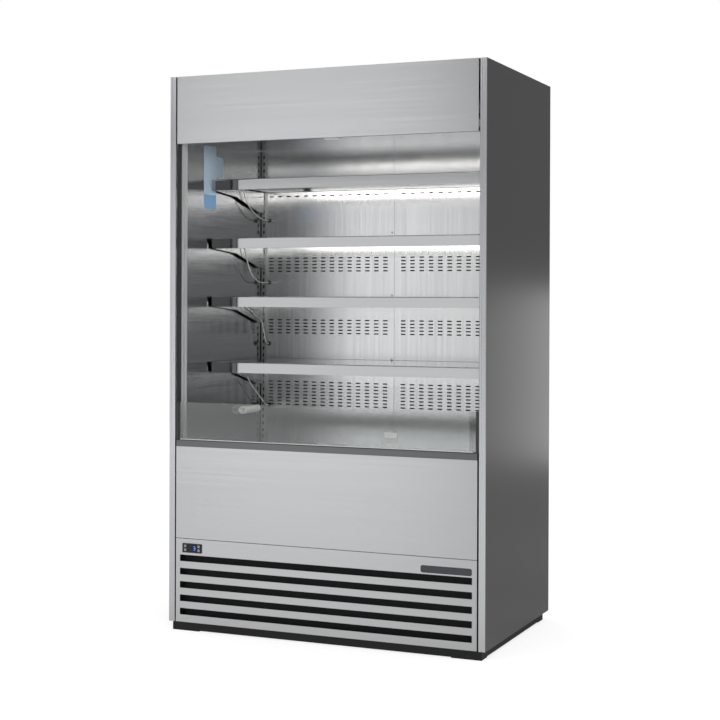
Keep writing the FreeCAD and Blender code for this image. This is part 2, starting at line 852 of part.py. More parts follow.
# ---------------------------------------------------------------- front below the opening
def insulated_tub():
    """Foamed tub under the deck: front wall with the deck's ledge, floor and rounded corner."""
    outline = [
        (tub_front, tub_bottom),
        (duct_rear, tub_bottom),
        (duct_rear, tub_floor_top),
        (tub_inner, tub_floor_top),
        (tub_inner, deck_under),
        (tub_inner - DECK_LEDGE, deck_under),
        (tub_inner - DECK_LEDGE, rail_bottom),
        (tub_front, rail_bottom),
    ]
    tub = prism_x(outline, -inner, inner)
    corner = [
        edge
        for edge in tub.Edges
        if edge.Length > inner
        and abs(edge.CenterOfMass.y - tub_inner) < FIT
        and abs(edge.CenterOfMass.z - tub_floor_top) < FIT
    ]
    return tub.makeFillet(TUB_CORNER, corner)


def front_rail():
    """Aluminium rail along the top of the lower panel, grooved for the glass."""
    groove_front = glass_front - GLASS_CLEARANCE
    groove_back = glass_back + GLASS_CLEARANCE
    outline = [
        (front, rail_bottom),
        (rail_back, rail_bottom),
        (rail_back, RAIL_TOP - RAIL_CHAMFER),
        (rail_back - RAIL_CHAMFER, RAIL_TOP),
        (groove_back, RAIL_TOP),
        (groove_back, RAIL_TOP - GLASS_BITE),
        (groove_front, RAIL_TOP - GLASS_BITE),
        (groove_front, RAIL_TOP),
        (front + RAIL_CHAMFER, RAIL_TOP),
        (front, RAIL_TOP - RAIL_CHAMFER),
    ]
    return prism_x(outline, -panel_half, panel_half)


def front_glass():
    x = panel_half - GLASS_CLEARANCE
    return box(-x, x, glass_front, glass_back, RAIL_TOP - GLASS_BITE, GLASS_TOP)


def glass_channel():
    """Dark side channel that holds the glass's edge from the rail to its top."""
    mouth = post_inner - CHANNEL_WIDTH
    floor = panel_half
    y0 = glass_front - GLASS_CLEARANCE - CHANNEL_WALL
    y1 = glass_back + GLASS_CLEARANCE + CHANNEL_WALL
    plan = [
        (mouth, y0),
        (post_inner, y0),
        (post_inner, y1),
        (mouth, y1),
        (mouth, y1 - CHANNEL_WALL),
        (floor, y1 - CHANNEL_WALL),
        (floor, y0 + CHANNEL_WALL),
        (mouth, y0 + CHANNEL_WALL),
    ]
    return prism_z(plan, RAIL_TOP, GLASS_TOP + CHANNEL_LIP)


def folded_front(bottom, top):
    """Stainless front sheet with returns along all four edges."""
    y1 = front + PANEL_RETURN
    block = box(-panel_half, panel_half, front, y1, bottom, top)
    hollow = box(-panel_half + SHEET, panel_half - SHEET, front + SHEET, y1, bottom + SHEET, top - SHEET)
    return block.cut(hollow)


def lower_front_panel():
    return folded_front(lower_panel_bottom, lower_panel_top)


def grille_panel():
    """Lift-off machine grille: five long slots and the opening of the controller."""
    panel = folded_front(grille_bottom, GRILLE_TOP)
    slot_half = panel_half - GRILLE_SLOT_MARGIN
    cuts = []
    for index in range(GRILLE_SLOTS):
        z0 = grille_bottom + GRILLE_FIRST_SLOT + index * GRILLE_SLOT_PITCH
        z1 = z0 + GRILLE_SLOT_HEIGHT
        cuts.append(box(-slot_half, slot_half, front - OVERCUT, front + 2 * SHEET, z0, z1))
    width = CONTROLLER_WIDTH / 2 - CONTROLLER_BEZEL + FIT
    height = CONTroller_height / 2 - CONTROLLER_BEZEL + FIT
    cuts.append(
        box(
            controller_x - width,
            controller_x + width,
            front - OVERCUT,
            front + 2 * SHEET,
            controller_z - height,
            controller_z + height,
        )
    )
    return panel.cut(Part.makeCompound(cuts))


def condenser_filter():
    """Black framed filter that stands behind the grille."""
    x = inner - FILTER_GAP
    top = GRILLE_TOP - FILTER_TOP_GAP
    y1 = filter_front + FILTER_THICKNESS
    frame = box(-x, x, filter_front, y1, deck_top, top)
    x -= FILTER_FRAME
    pocket = FILTER_THICKNESS / 2 - FILTER_PAD / 2
    for y0 in (filter_front, y1 - pocket):
        frame = frame.cut(box(-x, x, y0, y0 + pocket, deck_top + FILTER_FRAME, top - FILTER_FRAME))
    return frame


# ---------------------------------------------------------------- controller
def controller_housing():
    """Bezel and body of the controller, with button pockets and the display recess."""
    w = CONTROLLER_WIDTH / 2
    h = CONTroller_height / 2
    x, z = controller_x, controller_z
    bezel = box(x - w, x + w, front - CONTROLLER_PROUD, front, z - h, z + h)
    vertical = [edge for edge in bezel.Edges if abs(edge.tangentAt(0).y) > 0.9]
    bezel = bezel.makeFillet(CONTROLLER_BEZEL / 2, vertical)
    w -= CONTROLLER_BEZEL
    h -= CONTROLLER_BEZEL
    body = box(x - w, x + w, front, filter_front - FIT, z - h, z + h)
    cuts = [
        box(
            x - DISPLAY_WIDTH / 2,
            x + DISPLAY_WIDTH / 2,
            front - CONTROLLER_PROUD - OVERCUT,
            front - CONTROLLER_PROUD + DISPLAY_RECESS,
            z - DISPLAY_HEIGHT / 2,
            z + DISPLAY_HEIGHT / 2,
        )
    ]
    for bx, bz in button_places():
        cuts.append(
            box(
                bx - BUTTON_WIDTH / 2 - FIT,
                bx + BUTTON_WIDTH / 2 + FIT,
                front - CONTROLLER_PROUD - OVERCUT,
                front - CONTROLLER_PROUD + BUTTON_LENGTH + BUTTON_TRAVEL,
                bz - BUTTON_HEIGHT / 2 - FIT,
                bz + BUTTON_HEIGHT / 2 + FIT,
            )
        )
    return bezel.fuse(body).cut(Part.makeCompound(cuts))


def button_places():
    side = CONTROLLER_WIDTH / 2 - BUTTON_INSET
    return [
        (controller_x + sx * side, controller_z + sz * BUTTON_PITCH / 2)
        for sx in (-1, 1)
        for sz in (1, -1)
    ]


def controller_button(x, z):
    y0 = front - CONTROLLER_PROUD - BUTTON_PROUD
    button = box(
        x - BUTTON_WIDTH / 2,
        x + BUTTON_WIDTH / 2,
        y0,
        y0 + BUTTON_PROUD + BUTTON_LENGTH,
        z - BUTTON_HEIGHT / 2,
        z + BUTTON_HEIGHT / 2,
    )
    face_edges = [edge for edge in button.Edges if abs(edge.CenterOfMass.y - y0) < FIT]
    return button.makeChamfer(BUTTON_PROUD / 2, face_edges)


# ---------------------------------------------------------------- night curtain
def curtain_brackets():
    """End plates on the two liners, each with an open slot that the roller's axle drops into."""
    y0 = roller_y - CURTAIN_BRACKET_DEPTH / 2
    seat = CURTAIN_AXLE_RADIUS + CURTAIN_AXLE_GAP
    plate = box(
        inner - CURTAIN_BRACKET,
        inner,
        y0,
        y0 + CURTAIN_BRACKET_DEPTH,
        roller_height - CURTAIN_BRACKET_DEPTH / 2,
        roller_height + CURTAIN_BRACKET_DEPTH / 2,
    )
    slot = box(
        inner - 2 * CURTAIN_BRACKET,
        inner,
        roller_y - seat,
        roller_y + seat,
        roller_height - seat,
        roller_height + CURTAIN_BRACKET_DEPTH,
    )
    return both_sides(plate.cut(slot))


def curtain_roller():
    """Sprung roller with the wound curtain and its two axle ends."""
    roll = cylinder(
        CURTAIN_ROLL_RADIUS, 2 * curtain_half, vec(-curtain_half, roller_y, roller_height), vec(1, 0, 0)
    )
    shaft_half = inner - FIT
    axle = cylinder(
        CURTAIN_AXLE_RADIUS, 2 * shaft_half, vec(-shaft_half, roller_y, roller_height), vec(1, 0, 0)
    )
    return fused([roll, axle])


def curtain_fabric():
    """Free stretch of the curtain between the roll and its bottom bar."""
    y0 = curtain_y - CURTAIN_THICKNESS / 2
    return box(
        -curtain_half,
        curtain_half,
        y0 - FIT,
        y0 + CURTAIN_THICKNESS - FIT,
        bar_top,
        roller_height,
    )


def curtain_bar():
    """Bottom bar of the curtain with its pull tab."""
    y0 = curtain_y - BAR_THICKNESS / 2
    bar = box(-curtain_half, curtain_half, y0, y0 + BAR_THICKNESS, bar_bottom, bar_top)
    long_edges = [edge for edge in bar.Edges if edge.Length > curtain_half]
    bar = bar.makeFillet(BAR_THICKNESS / 4, long_edges)
    tab_outline = [
        (CATCH_X - TAB_WIDTH / 2, bar_bottom + BAR_HEIGHT / 2),
        (CATCH_X - TAB_WIDTH / 2, bar_bottom),
        (CATCH_X - TAB_WIDTH / 2 + TAB_TAPER, bar_bottom - TAB_HEIGHT),
        (CATCH_X + TAB_WIDTH / 2 - TAB_TAPER, bar_bottom - TAB_HEIGHT),
        (CATCH_X + TAB_WIDTH / 2, bar_bottom),
        (CATCH_X + TAB_WIDTH / 2, bar_bottom + BAR_HEIGHT / 2),
    ]
    tab = prism_y(tab_outline, y0, y0 + TAB_THICKNESS)
    return fused([bar, tab])


def curtain_catch():
    """Hooked plate behind the rail that holds the bar of the lowered curtain."""
    y0 = rail_back
    outline = bent_sheet(
        [
            (y0, rail_bottom + CATCH_THICKNESS),
            (y0, RAIL_TOP + CATCH_HEIGHT),
            (y0 + CATCH_HOOK, RAIL_TOP + CATCH_HEIGHT - CATCH_HOOK),
        ],
        -CATCH_THICKNESS,
    )
    return prism_x(outline, CATCH_X - CATCH_WIDTH / 2, CATCH_X + CATCH_WIDTH / 2)


# ---------------------------------------------------------------- lamp leads
# Routes from each shelf's raceway to its hole, chosen by hand: gap from the left wall,
# gap from the back panel, and drop below the shelf's top.
RACEWAY_DROP = SHEET + RACEWAY_HEIGHT + FIT
CORD_DROPS = [
    [
        (CORD_SHELF_GAP, 213.0, RACEWAY_DROP),
        (CORD_SHELF_GAP, 211.0, 31.25),
        (CORD_SHELF_GAP, 191.0, 63.25),
        (25.0, 157.0, 92.25),
        (27.0, 113.0, 117.25),
        (30.0, 63.0, 131.25),
        (CORD_WALL_GAP, 27.0, CORD_HOLE_DROPS[0]),
        (CORD_WALL_GAP, GROMMET_FACE, CORD_HOLE_DROPS[0]),
    ],
    [
        (CORD_SHELF_GAP, 205.0, RACEWAY_DROP),
        (CORD_SHELF_GAP, 203.0, 35.25),
        (CORD_SHELF_GAP, 185.0, 71.25),
        (25.0, 164.0, 111.25),
        (26.0, 133.0, 143.25),
        (28.0, 92.0, 161.25),
        (30.0, 56.0, 166.25),
        (CORD_WALL_GAP, 27.0, CORD_HOLE_DROPS[1]),
        (CORD_WALL_GAP, GROMMET_FACE, CORD_HOLE_DROPS[1]),
    ],
    [
        (CORD_SHELF_GAP, 193.0, RACEWAY_DROP),
        (CORD_SHELF_GAP, 190.0, 27.25),
        (CORD_SHELF_GAP, 167.0, 42.25),
        (25.0, 128.0, 53.25),
        (26.0, 87.0, 72.25),
        (27.0, 56.0, 100.25),
        (28.0, 41.0, 135.25),
        (30.0, 33.0, 168.25),
        (CORD_WALL_GAP, 22.0, CORD_HOLE_DROPS[2]),
        (CORD_WALL_GAP, GROMMET_FACE, CORD_HOLE_DROPS[2]),
    ],
    [
        (CORD_SHELF_GAP, 197.0, RACEWAY_DROP),
        (CORD_SHELF_GAP, 195.0, 35.5),
        (CORD_SHELF_GAP, 180.0, 64.5),
        (25.0, 151.0, 96.5),
        (26.0, 107.0, 129.5),
        (28.0, 63.0, 160.5),
        (30.0, 36.0, 182.5),
        (CORD_WALL_GAP, 19.0, CORD_HOLE_DROPS[3]),
        (CORD_WALL_GAP, GROMMET_FACE, CORD_HOLE_DROPS[3]),
    ],
]
cord_routes = [
    [(gap - inner, back_front - reach, top - drop) for gap, reach, drop in route]
    for top, route in zip(shelf_tops, CORD_DROPS)
]


def lamp_cords():
    cords = []
    for route in cord_routes:
        solid, length, radii, filled = tube([vec(*point) for point in route], CORD_DIAMETER)
        print("lead length", round(length, 1), "radii", [round(radius, 1) for radius in radii])
        print("  volume against section times length", round(filled, 4))
        cords.append(solid)
    return cords


# ---------------------------------------------------------------- refrigeration
def finned_coil(x0, x1, y0, depth, z0, height, fins, gap, plate):
    """Fin pack of a coil as a comb, joined along its back by the tube plate."""
    pitch = (x1 - x0) / fins
    fin_end = y0 + depth - plate
    outline = [(x0, y0 + depth), (x0, y0)]
    for index in range(fins - 1):
        edge = x0 + (index + 1) * pitch
        outline += [
            (edge - gap / 2, y0),
            (edge - gap / 2, fin_end),
            (edge + gap / 2, fin_end),
            (edge + gap / 2, y0),
        ]
    outline += [(x1, y0), (x1, y0 + depth)]
    return prism_z(outline, z0, z0 + height)


def evaporator_coil():
    half_width = COIL_WIDTH / 2
    return finned_coil(
        -half_width,
        half_width,
        COIL_FRONT,
        COIL_DEPTH,
        tub_floor_top,
        COIL_HEIGHT,
        COIL_FINS,
        COIL_FIN_GAP,
        COIL_TUBE_PLATE,
    )


def condenser_coil():
    x = SHROUD_CENTRE[0]
    return finned_coil(
        x - CONDENSER_WIDTH / 2,
        x + CONDENSER_WIDTH / 2,
        CONDENSER_Y,
        CONDENSER_DEPTH,
        deck_top,
        CONDENSER_HEIGHT,
        CONDENSER_FINS,
        CONDENSER_FIN_GAP,
        CONDENSER_TUBE_PLATE,
    )


def fan(centre, radius):
    """Axial fan: rotor hub with pitched blades that widen outwards. It turns about Y."""
    hub = cylinder(FAN_HUB, FAN_DEPTH, vec(0, 0, 0), vec(0, 1, 0))
    tip = math.sqrt(radius**2 - (BLADE_TIP_CHORD / 2) ** 2)
    outline = [
        (-BLADE_ROOT_CHORD / 2, FAN_HUB - BLADE_ROOT_SINK),
        (BLADE_ROOT_CHORD / 2, FAN_HUB - BLADE_ROOT_SINK),
        (BLADE_TIP_CHORD / 2, tip),
        (-BLADE_TIP_CHORD / 2, tip),
    ]
    blade = prism_y(outline, -BLADE_THICKNESS / 2, BLADE_THICKNESS / 2)
    blade.rotate(vec(0, 0, 0), vec(0, 0, 1), BLADE_PITCH)
    blade.translate(vec(0, FAN_DEPTH / 2, 0))
    blades = []
    for index in range(FAN_BLADES):
        copy = blade.copy()
        copy.rotate(vec(0, 0, 0), vec(0, 1, 0), index * 360.0 / FAN_BLADES)
        blades.append(copy)
    wheel = fused([hub] + blades)
    wheel.translate(centre)
    return wheel


def fan_plate(x0, x1, y, z0, z1, centre, radius):
    """Plate with a round fan opening, and the fan's motor behind it on a bar between two posts."""
    cx, cz = centre
    opening = radius + FAN_TIP_GAP
    plate_back = y + 2 * SHEET
    plate = box(x0, x1, y, plate_back, z0, z1)
    hole = cylinder(opening, 4 * SHEET, vec(cx, y - SHEET, cz), vec(0, 1, 0))
    motor_front = y + FAN_PLATE_GAP + FAN_DEPTH + ROTOR_GAP
    motor_back = motor_front + MOTOR_LENGTH
    can = cylinder(FAN_HUB, MOTOR_LENGTH, vec(cx, motor_front, cz), vec(0, 1, 0))
    bar_bottom_z = cz - MOTOR_BAR_WIDTH / 2
    bar_top_z = cz + MOTOR_BAR_WIDTH / 2
    reach = opening + MOTOR_POST_GAP + MOTOR_BAR_WIDTH
    bar = box(cx - reach, cx + reach, motor_back, motor_back + MOTOR_BAR, bar_bottom_z, bar_top_z)
    pieces = [plate.cut(hole), can, bar]
    for x in (cx - reach, cx + reach - MOTOR_BAR_WIDTH):
        pieces.append(box(x, x + MOTOR_BAR_WIDTH, plate_back, motor_back, bar_bottom_z, bar_top_z))
    return fused(pieces)


def evaporator_fan_plate():
    centre = (0.0, (tub_floor_top + deck_under) / 2)
    return fan_plate(-inner, inner, FAN_PLATE_Y, tub_floor_top, deck_under, centre, EVAPORATOR_FAN_RADIUS)


def evaporator_fan():
    z = (tub_floor_top + deck_under) / 2
    return fan(vec(0, FAN_PLATE_Y + FAN_PLATE_GAP, z), EVAPORATOR_FAN_RADIUS)


def condenser_fan_shroud():
    x = SHROUD_CENTRE[0]
    return fan_plate(
        x - CONDENSER_WIDTH / 2,
        x + CONDENSER_WIDTH / 2,
        CONDENSER_Y + CONDENSER_DEPTH,
        deck_top,
        deck_top + CONDENSER_HEIGHT,
        SHROUD_CENTRE,
        CONDENSER_FAN_RADIUS,
    )


def condenser_fan():
    x, z = SHROUD_CENTRE
    return fan(vec(x, CONDENSER_Y + CONDENSER_DEPTH + FAN_PLATE_GAP, z), CONDENSER_FAN_RADIUS)


def compressor():
    """Compressor: upper shell lapped over the lower one, terminal cover, stubs and foot plate."""
    x, y = COMPRESSOR_CENTRE
    r = COMPRESSOR_RADIUS
    top = COMPRESSOR_HEIGHT
    up = vec(0, 0, 1)
    lower = cylinder(r - COMPRESSOR_LIP, COMPRESSOR_SEAM, vec(0, 0, 0), up)
    upper = cylinder(r, top - COMPRESSOR_SEAM, vec(0, 0, COMPRESSOR_SEAM), up)
    reach = r + COMPRESSOR_FOOT_OVERHANG
    plate = box(-reach, reach, -r, r, 0, COMPRESSOR_FOOT)
    terminal = box(
        0,
        r + TERMINAL_PROUD,
        -TERMINAL_WIDTH / 2,
        TERMINAL_WIDTH / 2,
        COMPRESSOR_SEAM - TERMINAL_HEIGHT / 2,
        COMPRESSOR_SEAM + TERMINAL_HEIGHT / 2,
    )
    discharge_stub = cylinder(STUB_RADIUS, r + STUB_LENGTH, vec(0, 0, DISCHARGE_HEIGHT), vec(0, -1, 0))
    suction_stub = cylinder(STUB_RADIUS, STUB_LENGTH, vec(0, 0, top), up)
    whole = fused([lower, upper, plate, terminal, discharge_stub, suction_stub])
    whole.translate(vec(x, y, deck_top))
    return whole


def condensate_pan():
    width, depth, height = PAN_SIZE
    x = PAN_SIDE_GAP + width / 2 - inner
    y = rear - PAN_REAR_GAP - depth / 2
    outer = box(x - width / 2, x + width / 2, y - depth / 2, y + depth / 2, deck_top, deck_top + height)
    wall = 2 * SHEET
    hollow = box(
        x - width / 2 + wall,
        x + width / 2 - wall,
        y - depth / 2 + wall,
        y + depth / 2 - wall,
        deck_top + wall,
        deck_top + height,
    )
    return outer.cut(hollow)


def refrigerant_pipes():
    """Discharge line to the condenser, and suction line straight down from the tub."""
    x, y = COMPRESSOR_CENTRE
    z = deck_top + DISCHARGE_HEIGHT
    coil_y = CONDENSER_Y + CONDENSER_DEPTH / 2
    discharge = [
        vec(x, y - COMPRESSOR_RADIUS - STUB_LENGTH, z),
        vec(x, coil_y, z),
        vec(SHROUD_CENTRE[0] + CONDENSER_WIDTH / 2, coil_y, z),
    ]
    top = deck_top + COMPRESSOR_HEIGHT + STUB_LENGTH
    suction = cylinder(PIPE_RADIUS, tub_bottom - top, vec(x, y, top), vec(0, 0, 1))
    return [tube(discharge, 2 * PIPE_RADIUS)[0], suction]


# ---------------------------------------------------------------- write every node
os.makedirs("parts", exist_ok=True)

save("base_frame", [base_frame()])
save("machine_deck", [machine_deck()])
for side, place in (("right", lambda shape: shape), ("left", mirrored)):
    save("end_panel_" + side, [place(end_panel())])
    save("end_liner_" + side, [place(end_liner())])
    save("corner_post_" + side, [place(corner_post())])
save("insulation", insulation())
save("side_jambs", both_sides(side_jamb()))
save("curtain_guides", both_sides(curtain_guide()))
save("rear_panel", [rear_panel()])
save("roof_panel", [roof_panel()])
save("header_panel", [header_panel()])
save("ceiling_panel", [ceiling_panel()])
save("air_diffuser", [air_diffuser()])
save("header_lamp", [header_lamp()])
save("back_panel_right", [back_panel_right()])
save("back_panel_left", [back_panel_left()])
save("cord_grommets", cord_grommets())
save("pilasters", both_sides(pilaster()))
save("shelf_brackets", [piece for top in shelf_tops for piece in both_sides(shelf_bracket(top))])
for number, top in enumerate(shelf_tops, 1):
    save("shelf_" + str(number), [shelf(top)])
    save("shelf_lamp_" + str(number), shelf_lamp(top))
save("lamp_cords", lamp_cords())
save("sensor_guard", [sensor_guard()])
save("deck_pan", [deck_pan()])
save("insulated_tub", [insulated_tub()])
save("front_rail", [front_rail()])
save("front_glass", [front_glass()])
save("glass_channels", both_sides(glass_channel()))
save("lower_front_panel", [lower_front_panel()])
save("grille_panel", [grille_panel()])
save("condenser_filter", [condenser_filter()])
save("controller_housing", [controller_housing()])
for number, (button_x, button_z) in enumerate(button_places(), 1):
    save("controller_button_" + str(number), [controller_button(button_x, button_z)])
save("curtain_brackets", curtain_brackets())
save("curtain_roller", [curtain_roller()])
save("curtain_fabric", [curtain_fabric()])
save("curtain_bar", [curtain_bar()])
save("curtain_catch", [curtain_catch()])
save("evaporator_coil", [evaporator_coil()])
save("evaporator_fan_plate", [evaporator_fan_plate()])
save("evaporator_fan", [evaporator_fan()])
save("condenser_coil", [condenser_coil()])
save("condenser_fan_shroud", [condenser_fan_shroud()])
save("condenser_fan", [condenser_fan()])
save("compressor", [compressor()])
save("condensate_pan", [condensate_pan()])
save("refrigerant_pipes", refrigerant_pipes())
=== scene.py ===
# %% [markdown]
# An open display fridge: a tall cabinet with no door, four lipped shelves, a low
# front glass and a slotted machine grille. Cold air falls down its open front.
# The measured CAD model gives every sheet, post and shelf its true place. This
# lesson keeps those parts, gives each one its real finish, and makes what a CAD
# model leaves plain: punched holes, leads, screws, cloth and small fittings.

# %% Load the measured model
import math

import bmesh
import bpy
from mathutils import Matrix, Vector


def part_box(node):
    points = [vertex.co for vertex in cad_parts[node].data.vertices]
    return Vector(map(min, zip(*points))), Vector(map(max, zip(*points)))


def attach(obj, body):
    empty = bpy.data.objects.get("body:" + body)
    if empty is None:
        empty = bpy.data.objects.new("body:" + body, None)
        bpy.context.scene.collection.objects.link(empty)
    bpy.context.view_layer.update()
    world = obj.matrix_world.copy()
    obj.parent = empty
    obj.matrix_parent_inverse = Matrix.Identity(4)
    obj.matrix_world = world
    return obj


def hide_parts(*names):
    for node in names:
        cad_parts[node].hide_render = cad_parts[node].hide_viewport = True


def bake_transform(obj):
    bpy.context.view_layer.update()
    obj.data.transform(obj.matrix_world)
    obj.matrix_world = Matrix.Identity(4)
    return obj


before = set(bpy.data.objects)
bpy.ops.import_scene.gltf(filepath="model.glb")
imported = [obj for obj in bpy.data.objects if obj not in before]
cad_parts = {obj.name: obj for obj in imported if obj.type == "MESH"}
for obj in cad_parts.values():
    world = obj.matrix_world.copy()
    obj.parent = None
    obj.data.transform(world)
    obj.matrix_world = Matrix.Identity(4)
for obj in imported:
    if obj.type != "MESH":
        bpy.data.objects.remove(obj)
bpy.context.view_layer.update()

MM = 0.001
scene = bpy.context.scene


def box_mm(node):
    """A measured part's lowest and highest corner in millimetres, to a hundredth."""
    return [[round(value / MM, 2) for value in corner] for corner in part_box(node)]


print("measured parts:", len(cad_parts))

# %% [markdown]
# The camera comes first, because the cords are judged by what it sees. It stands
# about five metres off, a little right of the middle, at chest height, and looks
# level. A long lens keeps the uprights parallel. A level camera that sees more
# floor than ceiling uses a small lens shift, as an architecture photographer does.

# %% Camera
CAMERA_PLACE = (2.2219, -5.1740, 1.2135)
YAW, PITCH, ROLL = (math.radians(angle) for angle in (23.365, -0.1815, 0.207))
camera_data = bpy.data.cameras.new("camera")
camera_data.sensor_width = 36.0
camera_data.lens = 75.14
camera_data.shift_y = -0.0769
camera = bpy.data.objects.new("camera", camera_data)
scene.collection.objects.link(camera)
turn = Matrix.Rotation(YAW, 4, "Z") @ Matrix.Rotation(math.pi / 2 + PITCH, 4, "X")
camera.matrix_world = Matrix.Translation(CAMERA_PLACE) @ turn @ Matrix.Rotation(ROLL, 4, "Z")
scene.camera = camera
print("camera at", [round(value, 3) for value in camera.matrix_world.translation])

# %% [markdown]
# Two small tools serve every material and every node tree below. Designers name
# a colour by its sRGB hex value, but Blender's sockets take linear light, so one
# function converts it. The other adds a node, sets its properties, and fills or
# links its inputs, so that a tree can be read from top to bottom.

# %% Colour and node helpers
def linear(hex_colour):
    """Linear RGBA of an sRGB hex colour."""
    channels = [int(hex_colour[i : i + 2], 16) / 255 for i in (0, 2, 4)]
    return [c / 12.92 if c <= 0.04045 else ((c + 0.055) / 1.055) ** 2.4 for c in channels] + [1.0]


def shaded(colour, factor, lift=0.0):
    """A colour made lighter or darker by a factor, and lifted by a small amount."""
    return [min(1.0, channel * factor + lift) for channel in colour[:3]] + [1.0]


def add(tree, kind, inputs=None, **settings):
    """Add one node: settings are its properties, inputs its values or links by name or number."""
    node = tree.nodes.new(kind)
    for name, value in settings.items():
        setattr(node, name, value)
    for key, value in (inputs or {}).items():
        if isinstance(value, bpy.types.NodeSocket):
            tree.links.new(value, node.inputs[key])
        else:
            node.inputs[key].default_value = value
    return node


def new_material(name, **shader_values):
    """A material with one Principled shader, and that shader's own sockets set."""
    material = bpy.data.materials.new(name)
    material.use_nodes = True
    tree = material.node_tree
    tree.nodes.clear()
    values = {key.replace("_", " "): value for key, value in shader_values.items()}
    shader = add(tree, "ShaderNodeBsdfPrincipled", values)
    add(tree, "ShaderNodeOutputMaterial", {"Surface": shader.outputs[0]})
    return material, tree, shader


print("steel grey", [round(value, 3) for value in linear("C8C9CA")])

# %% [markdown]
# A pattern in a surface is driven by Object coordinates, in metres from the
# cabinet's foot, so that it stays put when the part is turned or moved. Every
# grain, wave and weave below starts from such a pattern, mostly noise that is
# stretched along the grain. One pattern then drives a whole finish, because on
# a real surface the same scratch changes colour, gloss and relief together.

# %% Patterns, and finishes that follow them
def stretched_noise(tree, scale, detail=2.0):
    """Noise whose features are 1/scale metres long on each axis."""
    place = add(tree, "ShaderNodeTexCoord").outputs["Object"]
    stretch = add(tree, "ShaderNodeMapping", {"Vector": place, "Scale": scale})
    return add(
        tree, "ShaderNodeTexNoise", {"Vector": stretch.outputs[0], "Scale": 1.0, "Detail": detail}
    ).outputs[0]


def follow(tree, shader, pattern, low, high, gloss=None, relief=None):
    """Let a finish follow a 0 to 1 pattern: its colour and, where given, its gloss and relief in metres."""
    tint = add(tree, "ShaderNodeMix", {0: pattern, 6: low, 7: high}, data_type="RGBA")
    tree.links.new(tint.outputs[2], shader.inputs["Base Color"])
    if gloss:
        # Noise seldom leaves 0.3 to 0.7, so that range is spread over the whole change of gloss.
        spread = {"Value": pattern, "From Min": 0.3, "From Max": 0.7, "To Min": gloss[0], "To Max": gloss[1]}
        rough = add(tree, "ShaderNodeMapRange", spread)
        tree.links.new(rough.outputs[0], shader.inputs["Roughness"])
    if relief:
        fine = add(tree, "ShaderNodeBump", {"Height": pattern, "Distance": relief})
        tree.links.new(fine.outputs[0], shader.inputs["Normal"])
    return tint.outputs[2]


print("pattern and finish helpers are ready")

# %% [markdown]
# Four lamp leads leave the left ends of the shelves and go back into the panel
# through rubber bushes. A thin PVC lead is limp: it drops out of its raceway,
# sags back along the wall and rises or falls into its hole. Each is one NURBS
# curve, steered by the same few points as the measured lead, with a round bevel.
# The curve then becomes a mesh tube.

# %% White PVC, and the points of the four leads
# Soft PVC: slightly warm white, a broad soft sheen, faint unevenness from the extruder.
pvc, tree, shader = new_material("white_pvc_lead", Roughness=0.38, IOR=1.5)
follow(tree, shader, stretched_noise(tree, (60, 60, 60)), linear("E9E8E4"), linear("F6F5F2"), relief=0.0002)

LEAD_DIAMETER = 0.004
LEADS = [
    (
        0.2657,
        [
            (-0.558, 0.096, 1.65895),
            (-0.558, 0.098, 1.638),
            (-0.558, 0.118, 1.606),
            (-0.557, 0.152, 1.577),
            (-0.555, 0.196, 1.552),
            (-0.552, 0.246, 1.538),
            (-0.551, 0.282, 1.5355),
            (-0.551, 0.3065, 1.5355),
        ],
    ),
    (
        0.2885,
        [
            (-0.558, 0.104, 1.43695),
            (-0.558, 0.106, 1.412),
            (-0.558, 0.124, 1.376),
            (-0.557, 0.145, 1.336),
            (-0.556, 0.176, 1.304),
            (-0.554, 0.217, 1.286),
            (-0.552, 0.253, 1.281),
            (-0.551, 0.282, 1.2833),
            (-0.551, 0.3065, 1.2833),
        ],
    ),
    (
        0.2851,
        [
            (-0.558, 0.116, 1.21495),
            (-0.558, 0.119, 1.198),
            (-0.558, 0.142, 1.183),
            (-0.557, 0.181, 1.172),
            (-0.556, 0.222, 1.153),
            (-0.555, 0.253, 1.125),
            (-0.554, 0.268, 1.090),
            (-0.552, 0.276, 1.057),
            (-0.551, 0.287, 1.0343),
            (-0.551, 0.3065, 1.0343),
        ],
    ),
    (
        0.2796,
        [
            (-0.558, 0.112, 0.9652),
            (-0.558, 0.114, 0.940),
            (-0.558, 0.129, 0.911),
            (-0.557, 0.158, 0.879),
            (-0.556, 0.202, 0.846),
            (-0.554, 0.246, 0.815),
            (-0.552, 0.273, 0.793),
            (-0.551, 0.290, 0.7841),
            (-0.551, 0.3065, 0.7841),
        ],
    ),
]
print("leads:", len(LEADS), "of", round(LEAD_DIAMETER / MM), "mm")


# %% The four lamp leads
def evaluated_mesh(made):
    """The mesh that an object has after its modifiers or its bevel."""
    graph = bpy.context.evaluated_depsgraph_get()
    return bpy.data.meshes.new_from_object(made.evaluated_get(graph))


def lead_tube(name, points):
    """A round mesh tube along one open NURBS spline, and the points that the spline runs through."""
    curve = bpy.data.curves.new(name, "CURVE")
    curve.dimensions = "3D"
    spline = curve.splines.new("NURBS")
    spline.points.add(len(points) - 1)
    for point, place in zip(spline.points, points):
        point.co = (*place, 1.0)
    spline.order_u = 3
    spline.use_endpoint_u = True
    spline.resolution_u = 12
    line = bpy.data.objects.new(name + "_line", curve)
    scene.collection.objects.link(line)
    route = evaluated_mesh(line)
    curve.bevel_depth = LEAD_DIAMETER / 2
    curve.bevel_resolution = 4
    curve.use_fill_caps = True
    curve.materials.append(pvc)
    tube = evaluated_mesh(line)
    bpy.data.objects.remove(line)
    cord = bpy.data.objects.new(name, tube)
    scene.collection.objects.link(cord)
    return cord, [tuple(vertex.co) for vertex in route.vertices]


